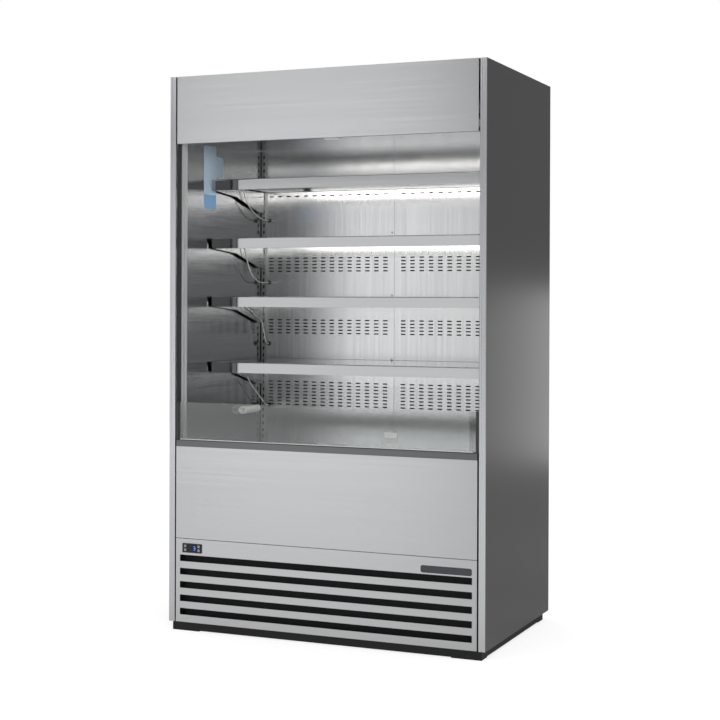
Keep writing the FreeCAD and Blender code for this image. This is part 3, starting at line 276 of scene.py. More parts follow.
for number, (length, points) in enumerate(LEADS, 1):
    lead, route = lead_tube(f"lamp_lead_{number}", points)
    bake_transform(lead)
    if number == 1:
        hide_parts("lamp_cords")
    print(lead.name, "length", length, "m, points", len(points))

# %% [markdown]
# The studio is plain: a pale floor, a white surround and broad soft lamps. The
# background is white because the surround has a strength of 1 for the rays that
# the camera sends out. For gloss it is darker, so that steel stays grey, and for
# the light on the cabinet a little lower, so that a colour shows about as it is
# written. A ray that leaves by the front glass after a mirror bounce inside
# counts as gloss, not as sight.


# %% Kinds of ray
def ray_kinds(tree):
    """Two 0 or 1 values: the ray looks straight at the studio, and the ray is a mirror image of it."""
    path = add(tree, "ShaderNodeLightPath").outputs
    glossy, through = path["Is Glossy Ray"], path["Is Transmission Ray"]
    direct = add(tree, "ShaderNodeMath", {0: path["Glossy Depth"], 1: 0.5}, operation="LESS_THAN")
    clear = add(tree, "ShaderNodeMath", {0: through, 1: direct.outputs[0]}, operation="MULTIPLY")
    sight = add(tree, "ShaderNodeMath", {0: path["Is Camera Ray"], 1: clear.outputs[0]}, operation="MAXIMUM")
    gloss = add(tree, "ShaderNodeMath", {0: glossy, 1: through}, operation="MAXIMUM")
    return sight.outputs[0], gloss.outputs[0]


print("kinds of ray: sight and gloss")

# %% Surround
SURROUND_LIGHT = 0.85
SURROUND_GLOSS = 0.25
SURROUND_SIGHT = 1.0
world = bpy.data.worlds.new("studio")
scene.world = world
world.use_nodes = True
tree = world.node_tree
tree.nodes.clear()
sight, gloss = ray_kinds(tree)
dim = add(tree, "ShaderNodeMapRange", {"Value": gloss, "To Min": SURROUND_LIGHT, "To Max": SURROUND_GLOSS})
level = add(tree, "ShaderNodeMix", {0: sight, 2: dim.outputs[0], 3: SURROUND_SIGHT})
surround = add(tree, "ShaderNodeBackground", {"Color": linear("FFFFFF"), "Strength": level.outputs[0]})
add(tree, "ShaderNodeOutputWorld", {"Surface": surround.outputs[0]})
scene.view_settings.view_transform = "Standard"
print("surround strength: light", SURROUND_LIGHT, "gloss", SURROUND_GLOSS, "sight", SURROUND_SIGHT)

# %% [markdown]
# The floor is a matt pale sheet that takes the cabinet's shadow. Its own grey is
# lifted to white for the eye by a little glow, which a shadow still darkens.
# Gloss sees a fainter glow that fades from front to back, so that the foot of
# the steel front isn't black.

# %% Floor
FLOOR_REACH = 7.0
FLOOR_SIGHT_GLOW = 0.68
FLOOR_GLOSS_GLOW = 0.26
GLOW_FADE = 0.8
floor_mesh = bpy.data.meshes.new("studio_floor")
corners = [(x * FLOOR_REACH, y * FLOOR_REACH, 0) for x, y in ((-1, -1), (1, -1), (1, 1), (-1, 1))]
floor_mesh.from_pydata(corners, [], [(0, 1, 2, 3)])
floor = bpy.data.objects.new("studio_floor", floor_mesh)
scene.collection.objects.link(floor)
floor_finish = bpy.data.materials.new("matt_white_floor")
floor_finish.use_nodes = True
tree = floor_finish.node_tree
tree.nodes.clear()
sight, gloss = ray_kinds(tree)
place = add(tree, "ShaderNodeSeparateXYZ", {0: add(tree, "ShaderNodeTexCoord").outputs["Object"]})
fade = {"From Min": -GLOW_FADE, "From Max": GLOW_FADE, "To Min": FLOOR_GLOSS_GLOW, "To Max": 0.0}
front = add(tree, "ShaderNodeMapRange", {"Value": place.outputs[1], **fade})
shine = add(tree, "ShaderNodeMath", {0: gloss, 1: front.outputs[0]}, operation="MULTIPLY")
seen = add(tree, "ShaderNodeMath", {0: sight, 1: FLOOR_SIGHT_GLOW}, operation="MULTIPLY")
fill = add(tree, "ShaderNodeMath", {0: seen.outputs[0], 1: shine.outputs[0]}, operation="MAXIMUM")
glow = add(tree, "ShaderNodeEmission", {"Color": linear("FFFFFF"), "Strength": fill.outputs[0]})
matt = add(tree, "ShaderNodeBsdfDiffuse", {"Color": linear("B4B4B4")})
both = add(tree, "ShaderNodeAddShader", {0: glow.outputs[0], 1: matt.outputs[0]})
add(tree, "ShaderNodeOutputMaterial", {"Surface": both.outputs[0]})
floor_mesh.materials.append(floor_finish)
print("floor", 2 * FLOOR_REACH, "m square")

# %% [markdown]
# Steel shows the lamps as much as it is lit by them. Two wide key boxes stand
# front left, where the steel front mirrors them towards the camera: the high one
# for the header, the low one for the panels and the glass. A strong fill comes
# from the right and is kept out of gloss, so it lights without a hot spot. A
# small box behind gives the end panel its soft pale patch.


# %% Soft lamps
def soft_lamp(name, place, aim, size, radiance, in_gloss=True):
    """A soft box at place that faces aim; at radiance 1 it looks as bright as white paper."""
    data = bpy.data.lights.new(name, "AREA")
    data.shape = "RECTANGLE"
    data.size, data.size_y = size
    data.energy = radiance * math.pi * size[0] * size[1]
    lamp = bpy.data.objects.new(name, data)
    lamp.location = place
    lamp.rotation_euler = (Vector(aim) - Vector(place)).to_track_quat("-Z", "Y").to_euler()
    lamp.visible_camera = False
    lamp.visible_glossy = in_gloss
    lamp.visible_transmission = in_gloss
    scene.collection.objects.link(lamp)
    print(name, "at", place, "power", round(data.energy, 1))


soft_lamp("key_lamp_high", (-2.4, -5.2, 3.1), (-0.6, 0, 3.1), (2.4, 1.0), 1.25)
soft_lamp("key_lamp_low", (-2.4, -5.2, 1.1), (-0.6, 0, 1.1), (2.4, 2.1), 1.0)
soft_lamp("fill_lamp", (2.6, -5.8, 2.2), (0, 0, 1.2), (2.4, 2.0), 10.0, in_gloss=False)
soft_lamp("rear_right_lamp", (1.05, 2.4, 0.82), (0.6, 0.2, 0.82), (0.6, 0.9), 1.6)

# %% [markdown]
# Stainless steel is a grey metal, and what we see in it is the room. The mill or
# the polisher leaves fine parallel scratches, the grain, which spread a
# reflection across themselves, so each finish says which way that is. Real grain
# is 0.1 to 0.3 mm apart, far below one pixel, so it is drawn a few millimetres
# apart, and the roughness carries the rest. Thin sheet is never quite flat: a
# slow wave, half a metre long, bends its reflections a little.

# %% Stainless steel
SHEET_WAVE = (2.2, 2.2, 5.0)


def stainless(
    name, hex_colour, roughness, grain, depth, across,
    wave=0.0, spread=0.05, streak=0.05, brushed=0.7, metallic=1.0,
):
    """Sheet metal with a grain of 1/grain metres; across is the direction that the grain spreads gloss."""
    material, tree, shader = new_material(name, Metallic=metallic, Anisotropic=brushed)
    turned = add(tree, "ShaderNodeVectorTransform", {0: across}, convert_from="OBJECT", convert_to="WORLD")
    tree.links.new(turned.outputs[0], shader.inputs["Tangent"])
    scratches = stretched_noise(tree, grain, detail=3.0)
    base = linear(hex_colour)
    dull, pale = shaded(base, 1 - streak), shaded(base, 1 + streak)
    follow(tree, shader, scratches, dull, pale, gloss=(roughness - spread, roughness + spread), relief=depth)
    if wave:
        slow = stretched_noise(tree, SHEET_WAVE, detail=1.0)
        fine = shader.inputs["Normal"].links[0].from_socket
        waved = add(tree, "ShaderNodeBump", {"Height": slow, "Distance": wave, "Normal": fine})
        tree.links.new(waved.outputs[0], shader.inputs["Normal"])
    print(name, "roughness", roughness, "wave", wave)
    return material


ALONG_FRONT = (0.02, 0.7, 1)
# Brushed front: broad soft reflections, lines along the panel.
front_steel = stainless("fine_brushed_stainless", "D3D4D5", 0.34, (1.5, 60, 260), 0.00003, ALONG_FRONT)
# Liner: nearly a mirror, with the slight oil-canning of thin sheet.
liner_steel = stainless(
    "polished_stainless_liner", "C0C1C3", 0.16, (3, 3, 120), 0.00001, (0.05, 0.02, 1),
    wave=0.0003, spread=0.03,
)
# Back: bright rolled sheet with a faint upright grain.
back_steel = stainless(
    "upright_grain_stainless", "DEDFE0", 0.22, (160, 60, 2), 0.00001, (1, 0.02, 0.02),
    wave=0.0002, spread=0.03, streak=0.025, brushed=0.93,
)
# Shelves: bright, with a fine grain along the lip.
shelf_steel = stainless(
    "bright_shelf_stainless", "ABACAD", 0.09, (2, 120, 220), 0.00001, ALONG_FRONT, wave=0.0002, spread=0.02
)

# %% Brackets and pilasters
ROLLED_GRAIN = (90, 30, 30)
ALONG_STRIP = (0.7, 1, 0.02)
# Brackets: tumbled bright pressings.
bracket_steel = stainless(
    "bright_pressed_stainless", "C4C5C6", 0.22, ROLLED_GRAIN, 0.00002, ALONG_STRIP, brushed=0.2
)
# Pilasters: strip that is rolled to a channel and left matt, so it stays pale in the corner.
pilaster_steel = stainless(
    "matt_rolled_strip", "BDBEBF", 0.42, ROLLED_GRAIN, 0.00002, ALONG_STRIP, brushed=0.1
)

# %% [markdown]
# Aluminium extrusions are paler and softer than steel, with die lines along
# their length. Anodising gives them a thin hard skin that scatters a little.
# The corner posts, the curtain's guides, bar and brackets and the glazing bead
# are clear anodised. The rail under the glass is anodised dark.

# %% Anodised aluminium
UPRIGHT = (1, 1, 0.02)
post_aluminium = stainless("brushed_aluminium_post", "D8D9DB", 0.30, (300, 40, 1.5), 0.00003, UPRIGHT)
# The clear skin of the guides scatters about half of the light, so they look pale from any side.
guide_aluminium = stainless(
    "satin_anodised_aluminium", "D6D7D9", 0.40, (200, 200, 3), 0.00002, UPRIGHT, brushed=0.1, metallic=0.45
)
# The dyed skin of the rail keeps the metal's gloss and darkens it.
rail_aluminium = stainless(
    "dark_anodised_rail", "77787A", 0.36, (2, 200, 300), 0.00002, ALONG_FRONT, brushed=0.4
)
# Coil fins are bare rolled foil: bright, with fine upright lines.
coil_fins = stainless("bare_aluminium_fins", "C9CBCD", 0.35, (400, 4, 4), 0.00005, UPRIGHT, brushed=0.3)

# %% [markdown]
# Powder coat is sprayed as dry powder and baked: satin, with a very fine orange
# peel. The end panels are graphite and the base frame is black. Galvanised sheet
# shows spangles, the frozen crystals of the zinc, 5 to 20 mm across. A Voronoi
# texture has that shape, and each cell gets its own grey and its own gloss.

# %% Painted steel
PEEL_DEPTH = 0.02  # share of the orange peel's width
CLOUD = (1.2, 1.2, 1.2)


def paint(name, hex_colour, roughness, peel):
    """Powder coat: colour, satin gloss and an orange peel that is peel metres across."""
    material, tree, shader = new_material(name, Roughness=roughness, IOR=1.5)
    base = linear(hex_colour)
    follow(tree, shader, stretched_noise(tree, CLOUD), shaded(base, 0.92), base)
    skin = stretched_noise(tree, (1 / peel, 1 / peel, 1 / peel))
    peeled = add(tree, "ShaderNodeBump", {"Height": skin, "Distance": peel * PEEL_DEPTH})
    tree.links.new(peeled.outputs[0], shader.inputs["Normal"])
    print(name, hex_colour, "roughness", roughness)
    return material


# End panels: satin, so they show a soft pale patch of the room.
end_paint = paint("graphite_powder_coat", "3C3C3E", 0.30, 0.006)
# Base frame and machine deck: dull black.
black_paint = paint("black_powder_coat", "0C0C0D", 0.55, 0.005)
# Compressor shell: dipped enamel, glossier than powder.
compressor_paint = paint("black_compressor_enamel", "121213", 0.22, 0.010)

# %% Galvanised steel
SPANGLES_PER_METRE = 70.0
galvanised, tree, shader = new_material("spangled_galvanised_sheet", Metallic=0.85)
place = add(tree, "ShaderNodeTexCoord").outputs["Object"]
spangle = add(tree, "ShaderNodeTexVoronoi", {"Vector": place, "Scale": SPANGLES_PER_METRE})
greys = (linear("9A9C9E"), linear("C3C5C7"))
follow(tree, shader, spangle.outputs["Color"], *greys, gloss=(0.32, 0.55))
print("spangles about", round(1000 / SPANGLES_PER_METRE), "mm across")

# %% [markdown]
# The plastics are plain mouldings. A moulded face keeps the texture of its
# tool: a spark grain on the dark jambs, next to none on the glossy controller.
# Rubber and foam are duller still. One function makes them all from a colour, a
# gloss and the depth of that texture.


# %% Plastics, rubber and foam
def moulding(name, hex_colour, roughness, texture, ior=1.5):
    """Moulded plastic or rubber with a fine tool texture, depth in metres."""
    material, tree, shader = new_material(name, Roughness=roughness, IOR=ior)
    grain = stretched_noise(tree, (420, 420, 420), detail=1.0)
    base = linear(hex_colour)
    follow(tree, shader, grain, base, shaded(base, 1.15, lift=0.002), relief=texture)
    print(name, hex_colour, "roughness", roughness)
    return material


# Jambs and glass channels: spark-eroded tool, so a dull skin. The dark grey of the jambs is painted shade of
# the recess beside the posts.
jamb_plastic = moulding("dark_abs_and_painted_shade", "2C2C2E", 0.45, 0.00008)
# Air diffuser: thin polystyrene, a little warm.
diffuser_plastic = moulding("offwhite_polystyrene", "E6E5E0", 0.40, 0.00003)
# Bushes: vulcanised rubber, nearly no gloss. The black strip of painted shade in the pilasters takes the same
# finish.
grommet_rubber = moulding("black_rubber_bush", "141414", 0.60, 0.00006, ior=1.52)
# Controller: polished tool, so it mirrors the room.
controller_plastic = moulding("gloss_black_abs", "0E0E10", 0.12, 0.00001)
# Buttons: softer and paler, to be found by eye and by finger.
button_plastic = moulding("matt_grey_button", "85878B", 0.45, 0.00003)
# Fans: glass fibre roughens the skin of the nylon.
fan_plastic = moulding("black_glass_filled_nylon", "161617", 0.50, 0.00008)
# Condensate pan: waxy polypropylene.
pan_plastic = moulding("black_polypropylene_pan", "1C1C1E", 0.42, 0.00005)
# Foam: its dark grey is painted shade, because it shows only through the slots of the back, where it lies in
# shade.
foam = moulding("painted_shade_foam", "3E3F40", 0.80, 0.00030)
# Sensor guard: a smooth white tube.
sensor_tube = moulding("white_pvc_tube", "F0EFEC", 0.35, 0.00002)
# Curtain catch: plain white nylon clip.
catch_plastic = moulding("white_nylon_catch", "F4F4F2", 0.35, 0.00002)

# %% [markdown]
# The lamps under the shelves and behind the header are opal covers that glow.
# Their sides and lower faces shine, only between their end caps. A shelf's tube
# lies in the rear half of its cover, so the glow fades towards the front. The
# strength follows the face's direction and its place. The front glass is clear
# float glass. Soda-lime glass has an index of 1.52 and a slight green that shows
# only at its edges, so a trace of colour is enough.

# %% Opal lamp covers
LIT_HALF = 0.527  # metres from the middle of a cover to its end caps
FADE_DEPTH = 0.08
FADED_GLOW = 0.6


def opal_cover(name, strength, front):
    """Opal polycarbonate: milky, lit from inside between its end caps, fading forward of front."""
    material, tree, shader = new_material(name, Roughness=0.35, IOR=1.58)
    follow(tree, shader, stretched_noise(tree, (30, 30, 30)), linear("EDEDEB"), linear("F7F7F5"))
    shader.inputs["Emission Color"].default_value = linear("FFFDF8")
    facing = add(tree, "ShaderNodeSeparateXYZ", {0: add(tree, "ShaderNodeNewGeometry").outputs["Normal"]})
    down = add(tree, "ShaderNodeMath", {0: facing.outputs[2], 1: 0.5}, operation="LESS_THAN")
    place = add(tree, "ShaderNodeSeparateXYZ", {0: add(tree, "ShaderNodeTexCoord").outputs["Object"]})
    across = add(tree, "ShaderNodeMath", {0: place.outputs[0]}, operation="ABSOLUTE")
    inside = add(tree, "ShaderNodeMath", {0: across.outputs[0], 1: LIT_HALF}, operation="LESS_THAN")
    fade = {"From Min": front - FADE_DEPTH, "From Max": front, "To Min": FADED_GLOW, "To Max": 1.0}
    behind = add(tree, "ShaderNodeMapRange", {"Value": place.outputs[1], **fade})
    lit = add(tree, "ShaderNodeMath", {0: down.outputs[0], 1: inside.outputs[0]}, operation="MULTIPLY")
    lamp = add(tree, "ShaderNodeMath", {0: lit.outputs[0], 1: behind.outputs[0]}, operation="MULTIPLY")
    glow = add(tree, "ShaderNodeMath", {0: lamp.outputs[0], 1: strength}, operation="MULTIPLY")
    tree.links.new(glow.outputs[0], shader.inputs["Emission Strength"])
    print(name, "strength", strength)
    return material


shelf_opal = opal_cover("opal_shelf_lamp_cover", strength=5.4, front=-0.02)
header_opal = opal_cover("opal_header_lamp_cover", strength=4.5, front=-0.345)

# %% Float glass
# Float glass: flat and clear, with long faint bands from the tin bath.
glass, tree, shader = new_material("clear_float_glass", IOR=1.52, Roughness=0.0)
shader.inputs["Transmission Weight"].default_value = 1.0
follow(tree, shader, stretched_noise(tree, (1.5, 1.5, 6)), linear("EEF1F0"), linear("F3F5F4"))
print("glass index", shader.inputs["IOR"].default_value)

# %% [markdown]
# Three finishes are left. The filter behind the grille is a black woven mesh in
# a frame, drawn as crossing waves about 4 mm apart. The night curtain is a
# silver-grey cloth whose threads are 0.6 mm apart, drawn at 2 mm to show.
# Copper pipe is drawn smooth and dulls in patches as it ages.

# %% Mesh, cloth and copper
FILTER_SPACING = 0.004
THREAD_SPACING = 0.002


def crossed_threads(tree, spacing):
    """Height of a plain weave in the XZ plane, spacing in metres between threads."""
    place = add(tree, "ShaderNodeTexCoord").outputs["Object"]
    # A Wave texture repeats every pi / (10 * scale) metres.
    wave = {"Vector": place, "Scale": math.pi / (10 * spacing), "Distortion": 0.0}
    warp, weft = (add(tree, "ShaderNodeTexWave", wave, bands_direction=way).outputs[1] for way in ("X", "Z"))
    return add(tree, "ShaderNodeMath", {0: warp, 1: weft}, operation="MAXIMUM").outputs[0]


# Filter: dull black polyester mesh, near black between its threads.
filter_mesh, tree, shader = new_material("black_filter_mesh", Roughness=0.55)
weave = crossed_threads(tree, FILTER_SPACING)
follow(tree, shader, weave, linear("010101"), linear("131314"), relief=0.001)
# Curtain: aluminised polyester yarn, with a soft sheen at its edges.
curtain_cloth, tree, shader = new_material("woven_silver_grey_cloth", Roughness=0.75)
weave = crossed_threads(tree, THREAD_SPACING)
follow(tree, shader, weave, linear("8F9296"), linear("C9CCD0"), relief=0.0003)
shader.inputs["Sheen Weight"].default_value = 0.25
# Copper: warm metal, rougher and darker where it has tarnished.
copper, tree, shader = new_material("drawn_copper_tube", Metallic=1.0)
patina = stretched_noise(tree, (12, 12, 12), detail=4.0)
follow(tree, shader, patina, linear("9A5B3E"), linear("C98262"), gloss=(0.22, 0.45))
print("mesh, cloth and copper finishes made")

# %% [markdown]
# Each measured part now takes its finish. The list is kept as a plain table,
# finish by finish, because that is how a workshop would order the parts. A part
# that a finer piece replaces further down still gets a finish here.

# %% Give every measured part its finish
finishes = [
    (black_paint, ["base_frame", "machine_deck"]),
    (end_paint, ["end_panel_left", "end_panel_right"]),
    (galvanised, ["rear_panel", "roof_panel", "evaporator_fan_plate", "condenser_fan_shroud"]),
    (post_aluminium, ["corner_post_left", "corner_post_right"]),
    (liner_steel, ["end_liner_left", "end_liner_right", "ceiling_panel", "deck_pan"]),
    (back_steel, ["back_panel_left", "back_panel_right"]),
    (front_steel, ["header_panel", "lower_front_panel", "grille_panel"]),
    (shelf_steel, ["shelf_1", "shelf_2", "shelf_3", "shelf_4"]),
    (bracket_steel, ["shelf_brackets"]),
    (pilaster_steel, ["pilasters"]),
    (foam, ["insulation", "insulated_tub"]),
    (jamb_plastic, ["side_jambs", "glass_channels"]),
    (guide_aluminium, ["curtain_guides", "curtain_bar", "curtain_brackets"]),
    (catch_plastic, ["curtain_catch"]),
    (rail_aluminium, ["front_rail"]),
    (diffuser_plastic, ["air_diffuser"]),
    (header_opal, ["header_lamp"]),
    (shelf_opal, ["shelf_lamp_1", "shelf_lamp_2", "shelf_lamp_3", "shelf_lamp_4"]),
    (pvc, ["lamp_cords"]),
    (sensor_tube, ["sensor_guard"]),
    (grommet_rubber, ["cord_grommets"]),
    (glass, ["front_glass"]),
    (filter_mesh, ["condenser_filter"]),
    (controller_plastic, ["controller_housing"]),
    (button_plastic, [f"controller_button_{number}" for number in (1, 2, 3, 4)]),
    (curtain_cloth, ["curtain_fabric", "curtain_roller"]),
    (coil_fins, ["evaporator_coil", "condenser_coil"]),
    (fan_plastic, ["evaporator_fan", "condenser_fan"]),
    (compressor_paint, ["compressor"]),
    (pan_plastic, ["condensate_pan"]),
    (copper, ["refrigerant_pipes"]),
]
dressed = set()
for material, names in finishes:
    for name in names:
        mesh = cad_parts[name].data
        mesh.materials.clear()
        mesh.materials.append(material)
        dressed.add(name)
print("parts with a finish:", len(dressed), "left:", sorted(set(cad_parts) - dressed))

# %% [markdown]
# New pieces are built in mesh code. A few helpers keep that short: one adds a
# block, one pushes an outline into a solid, one finishes the mesh with its
# materials, and one turns it into a piece that rides on its body. Sizes are
# in millimetres, as on a drawing, and are turned to metres once, at the end.


# %% Helpers for new pieces
def block(mesh, low, high):
    """Add an upright block between two corners, in millimetres."""
    made = bmesh.ops.create_cube(mesh, size=1.0)["verts"]
    size = Vector(high) - Vector(low)
    middle = (Vector(high) + Vector(low)) / 2
    for vertex in made:
        vertex.co = Vector([vertex.co[axis] * size[axis] + middle[axis] for axis in range(3)])


def pushed_outline(outline, way):
    """Fill a closed outline of points and push it along a vector into a solid, in millimetres."""
    mesh = bmesh.new()
    face = mesh.faces.new([mesh.verts.new(point) for point in outline])
    pushed = bmesh.ops.extrude_face_region(mesh, geom=[face])["geom"]
    far_end = [part for part in pushed if isinstance(part, bmesh.types.BMVert)]
    bmesh.ops.translate(mesh, vec=way, verts=far_end)
    return mesh


def finished_mesh(name, mesh, materials):
    """Close a bmesh into a mesh datablock in metres, its faces outward, and give it its finishes."""
    bmesh.ops.scale(mesh, vec=(MM, MM, MM), verts=mesh.verts)
    bmesh.ops.recalc_face_normals(mesh, faces=mesh.faces)
    data = bpy.data.meshes.new(name)
    mesh.to_mesh(data)
    mesh.free()
    for material in materials:
        data.materials.append(material)
    return data


def piece(name, data, body, replaced=()):
    """Make a mesh a piece of the object: it rides on a body and may replace measured parts."""
    made = bpy.data.objects.new(name, data)
    scene.collection.objects.link(made)
    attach(made, body)
    if replaced:
        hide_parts(*replaced)
    print(name, "on", body, "with", len(data.polygons), "faces")


print("helpers ready")

# %% [markdown]
# The back of the fridge breathes: cold air leaves through rows of short slots
# with round ends, punched under each shelf. They could be cut one by one in
# mesh code, but they repeat, so Geometry Nodes does it. A grid gives the hole
# centres, a slot-shaped punch stands on each, and one Boolean takes them all
# out of the sheet. The same tree later punches the shelf pilasters.

# %% The punching tree
punch_tree = bpy.data.node_groups.new("punched_rows", "GeometryNodeTree")
sockets = {}
for label, kind in (
    ("Sheet", "NodeSocketGeometry"),
    ("Punch", "NodeSocketObject"),
    ("Columns", "NodeSocketInt"),
    ("Rows", "NodeSocketInt"),
    ("Column Pitch", "NodeSocketFloat"),
    ("Row Pitch", "NodeSocketFloat"),
    ("Lowest Left Hole", "NodeSocketVector"),
    ("Finish", "NodeSocketMaterial"),
):
    sockets[label] = punch_tree.interface.new_socket(label, in_out="INPUT", socket_type=kind).identifier
punch_tree.interface.new_socket("Sheet", in_out="OUTPUT", socket_type="NodeSocketGeometry")
given = add(punch_tree, "NodeGroupInput").outputs
spans, halves = [], []
for count, pitch in (("Columns", "Column Pitch"), ("Rows", "Row Pitch")):
    gaps = add(punch_tree, "ShaderNodeMath", {0: given[count], 1: 1.0}, operation="SUBTRACT")
    span = add(punch_tree, "ShaderNodeMath", {0: gaps.outputs[0], 1: given[pitch]}, operation="MULTIPLY")
    half = add(punch_tree, "ShaderNodeMath", {0: span.outputs[0], 1: 0.5}, operation="MULTIPLY")
    spans.append(span.outputs[0])
    halves.append(half.outputs[0])
counts = {"Vertices X": given["Columns"], "Vertices Y": given["Rows"]}
grid = add(punch_tree, "GeometryNodeMeshGrid", {"Size X": spans[0], "Size Y": spans[1], **counts})
to_middle = add(punch_tree, "ShaderNodeCombineXYZ", {"X": halves[0], "Z": halves[1]})
middle = add(
    punch_tree,
    "ShaderNodeVectorMath",
    {0: given["Lowest Left Hole"], 1: to_middle.outputs[0]},
    operation="ADD",
)
upright = add(
    punch_tree,
    "GeometryNodeTransform",
    {"Geometry": grid.outputs["Mesh"], "Translation": middle.outputs[0], "Rotation": (math.pi / 2, 0, 0)},
)
shape = add(punch_tree, "GeometryNodeObjectInfo", {"Object": given["Punch"], "As Instance": True})
punches = add(
    punch_tree,
    "GeometryNodeInstanceOnPoints",
    {"Points": upright.outputs[0], "Instance": shape.outputs["Geometry"]},
)
solid = add(punch_tree, "GeometryNodeRealizeInstances", {"Geometry": punches.outputs[0]})
cut = add(
    punch_tree,
    "GeometryNodeMeshBoolean",
    {"Mesh 1": given["Sheet"], "Mesh 2": solid.outputs[0]},
    operation="DIFFERENCE",
    solver="EXACT",
)
real = add(punch_tree, "GeometryNodeRealizeInstances", {"Geometry": cut.outputs["Mesh"]})
coated = add(
    punch_tree, "GeometryNodeSetMaterial", {"Geometry": real.outputs[0], "Material": given["Finish"]}
)
add(punch_tree, "NodeGroupOutput", {"Sheet": coated.outputs[0]})
print("punching tree with", len(punch_tree.nodes), "nodes")


# %% The slot-shaped punch
def slot_punch(name, width, height, length=8.0, steps=5):
    """A slot with round ends across its longer side, long enough to pass a sheet, in millimetres."""
    radius = min(width, height) / 2
    along = max(width, height) / 2 - radius
    outline = []
    for side in (1, -1):
        for step in range(steps + 1):
            angle = math.pi * (step / steps - 0.5)
            a, b = side * (along + radius * math.cos(angle)), side * radius * math.sin(angle)
            x, z = (a, b) if width >= height else (-b, a)
            outline.append((x, -length / 2, z))
    mesh = pushed_outline(outline, (0, length, 0))
    print(name, width, "x", height, "mm")
    return bpy.data.objects.new(name, finished_mesh(name, mesh, []))


def cut_piece(name, blank, tool, finish, patterns, replaced):
    """Punch a blank sheet, running the tree once per pattern of holes, and put the result in its place."""
    before = bpy.data.objects.new(name + "_blank", blank)
    scene.collection.objects.link(before)
    for columns, rows, column_pitch, row_pitch, corner in patterns:
        modifier = before.modifiers.new("punched rows", "NODES")
        modifier.node_group = punch_tree
        modifier[sockets["Punch"]] = tool
        modifier[sockets["Columns"]] = columns
        modifier[sockets["Rows"]] = rows
        modifier[sockets["Column Pitch"]] = column_pitch * MM
        modifier[sockets["Row Pitch"]] = row_pitch * MM
        modifier[sockets["Lowest Left Hole"]] = [value * MM for value in corner]
        modifier[sockets["Finish"]] = finish
    data = evaluated_mesh(before)
    bpy.data.objects.remove(before)
    data.name = name
    piece(name, data, "cabinet", replaced)


air_punch = slot_punch("air_slot_punch", 20.0, 5.0)
hook_punch = slot_punch("hook_slot_punch", 7.0, 14.0)

# %% [markdown]
# Each half of the back has 14 slots to a row, 38.67 mm apart. There is one row
# under the top shelf, then five, five and eight rows under the others, 13.2 mm
# apart. The blank sheet has the measured panel's own box.

# %% Punch the two back panels
BACK_COLUMNS = 14
COLUMN_PITCH = 38.67
ROW_PITCH = 13.2
FIRST_COLUMN = 38.0  # from the middle of the back to its nearest slots
ROW_GROUPS = [(1632.0, 1), (1381.5, 5), (1131.5, 5), (881.5, 8)]  # height of the top row, number of rows
for side in ("left", "right"):
    low, high = box_mm("back_panel_" + side)
    mesh = bmesh.new()
    block(mesh, low, high)
    blank = finished_mesh("back_blank_" + side, mesh, [back_steel])
    first = FIRST_COLUMN if side == "right" else -FIRST_COLUMN - (BACK_COLUMNS - 1) * COLUMN_PITCH
    patterns = []
    for top, rows in ROW_GROUPS:
        corner = (first, (low[1] + high[1]) / 2, top - (rows - 1) * ROW_PITCH)
        patterns.append((BACK_COLUMNS, rows, COLUMN_PITCH, ROW_PITCH, corner))
    replaced = ["back_panel_" + side]
    cut_piece("punched_back_" + side, blank, air_punch, back_steel, patterns, replaced)

# %% [markdown]
# The shelves hang on pilasters, slotted steel channels in the rear corners. A
# slot every 27.75 mm lets the shopkeeper move a shelf. The channel is folded
# from thin sheet, so it is drawn as a folded outline pushed upward, and then
# punched by the same tree with its own narrow punch. A black strip inside each
# channel is painted shade: it makes the slots look as dark as a hollow channel's shade.

# %% Fold and punch the pilasters
CHANNEL_WIDTH = 14.0
CHANNEL_SHEET = 1.5
HOOK_SLOTS = 41
HOOK_PITCH = 27.75
FIRST_HOOK_SLOT = 12.625  # above the channel's foot
HOOK_COLUMN = 4.0  # from the channel's inner side
SHADE_STRIP_CLEARANCE = 1.6  # from the channel's outer faces
SHADE_STRIP_DEPTH = 2.2  # from the channel's front to the strip
(_, channel_front, channel_foot), (channel_outer, channel_back, channel_top) = box_mm("pilasters")
channel_inner = channel_outer - CHANNEL_WIDTH


def channel_mesh(sign):
    """U-shaped channel, open to the back panel, in millimetres; sign is -1 on the left."""
    outline = [
        (channel_outer, channel_back),
        (channel_outer, channel_front),
        (channel_inner, channel_front),
        (channel_inner, channel_back),
        (channel_inner + CHANNEL_SHEET, channel_back),
        (channel_inner + CHANNEL_SHEET, channel_front + CHANNEL_SHEET),
        (channel_outer - CHANNEL_SHEET, channel_front + CHANNEL_SHEET),
        (channel_outer - CHANNEL_SHEET, channel_back),
    ]
    ring = [(sign * x, y, channel_foot) for x, y in outline]
    return pushed_outline(ring, (0, 0, channel_top - channel_foot))


def shade_strip_mesh(sign):
    """The black strip of painted shade in a channel, 1 mm thick and 1 mm short of its ends, in millimetres.
    """
    edges = sorted((sign * (channel_inner + SHADE_STRIP_CLEARANCE), sign * (channel_outer - SHADE_STRIP_CLEARANCE)))
    front = channel_front + SHADE_STRIP_DEPTH
    mesh = bmesh.new()
    block(mesh, (edges[0], front, channel_foot + 1.0), (edges[1], front + 1.0, channel_top - 1.0))
    return mesh


for side, sign in (("left", -1), ("right", 1)):
    blank = finished_mesh("pilaster_blank_" + side, channel_mesh(sign), [pilaster_steel])
    sheet_middle = channel_front + CHANNEL_SHEET / 2
    corner = (sign * (channel_inner + HOOK_COLUMN), sheet_middle, channel_foot + FIRST_HOOK_SLOT)
    patterns = [(1, HOOK_SLOTS, 0.0, HOOK_PITCH, corner)]
    name = "slotted_pilaster_" + side
    cut_piece(name, blank, hook_punch, pilaster_steel, patterns, ["pilasters"])
    # Each channel gets a black strip of painted shade behind its slots.
    strip = finished_mesh("pilaster_shade_strip", shade_strip_mesh(sign), [grommet_rubber])
    piece("pilaster_strip_" + side, strip, "cabinet")

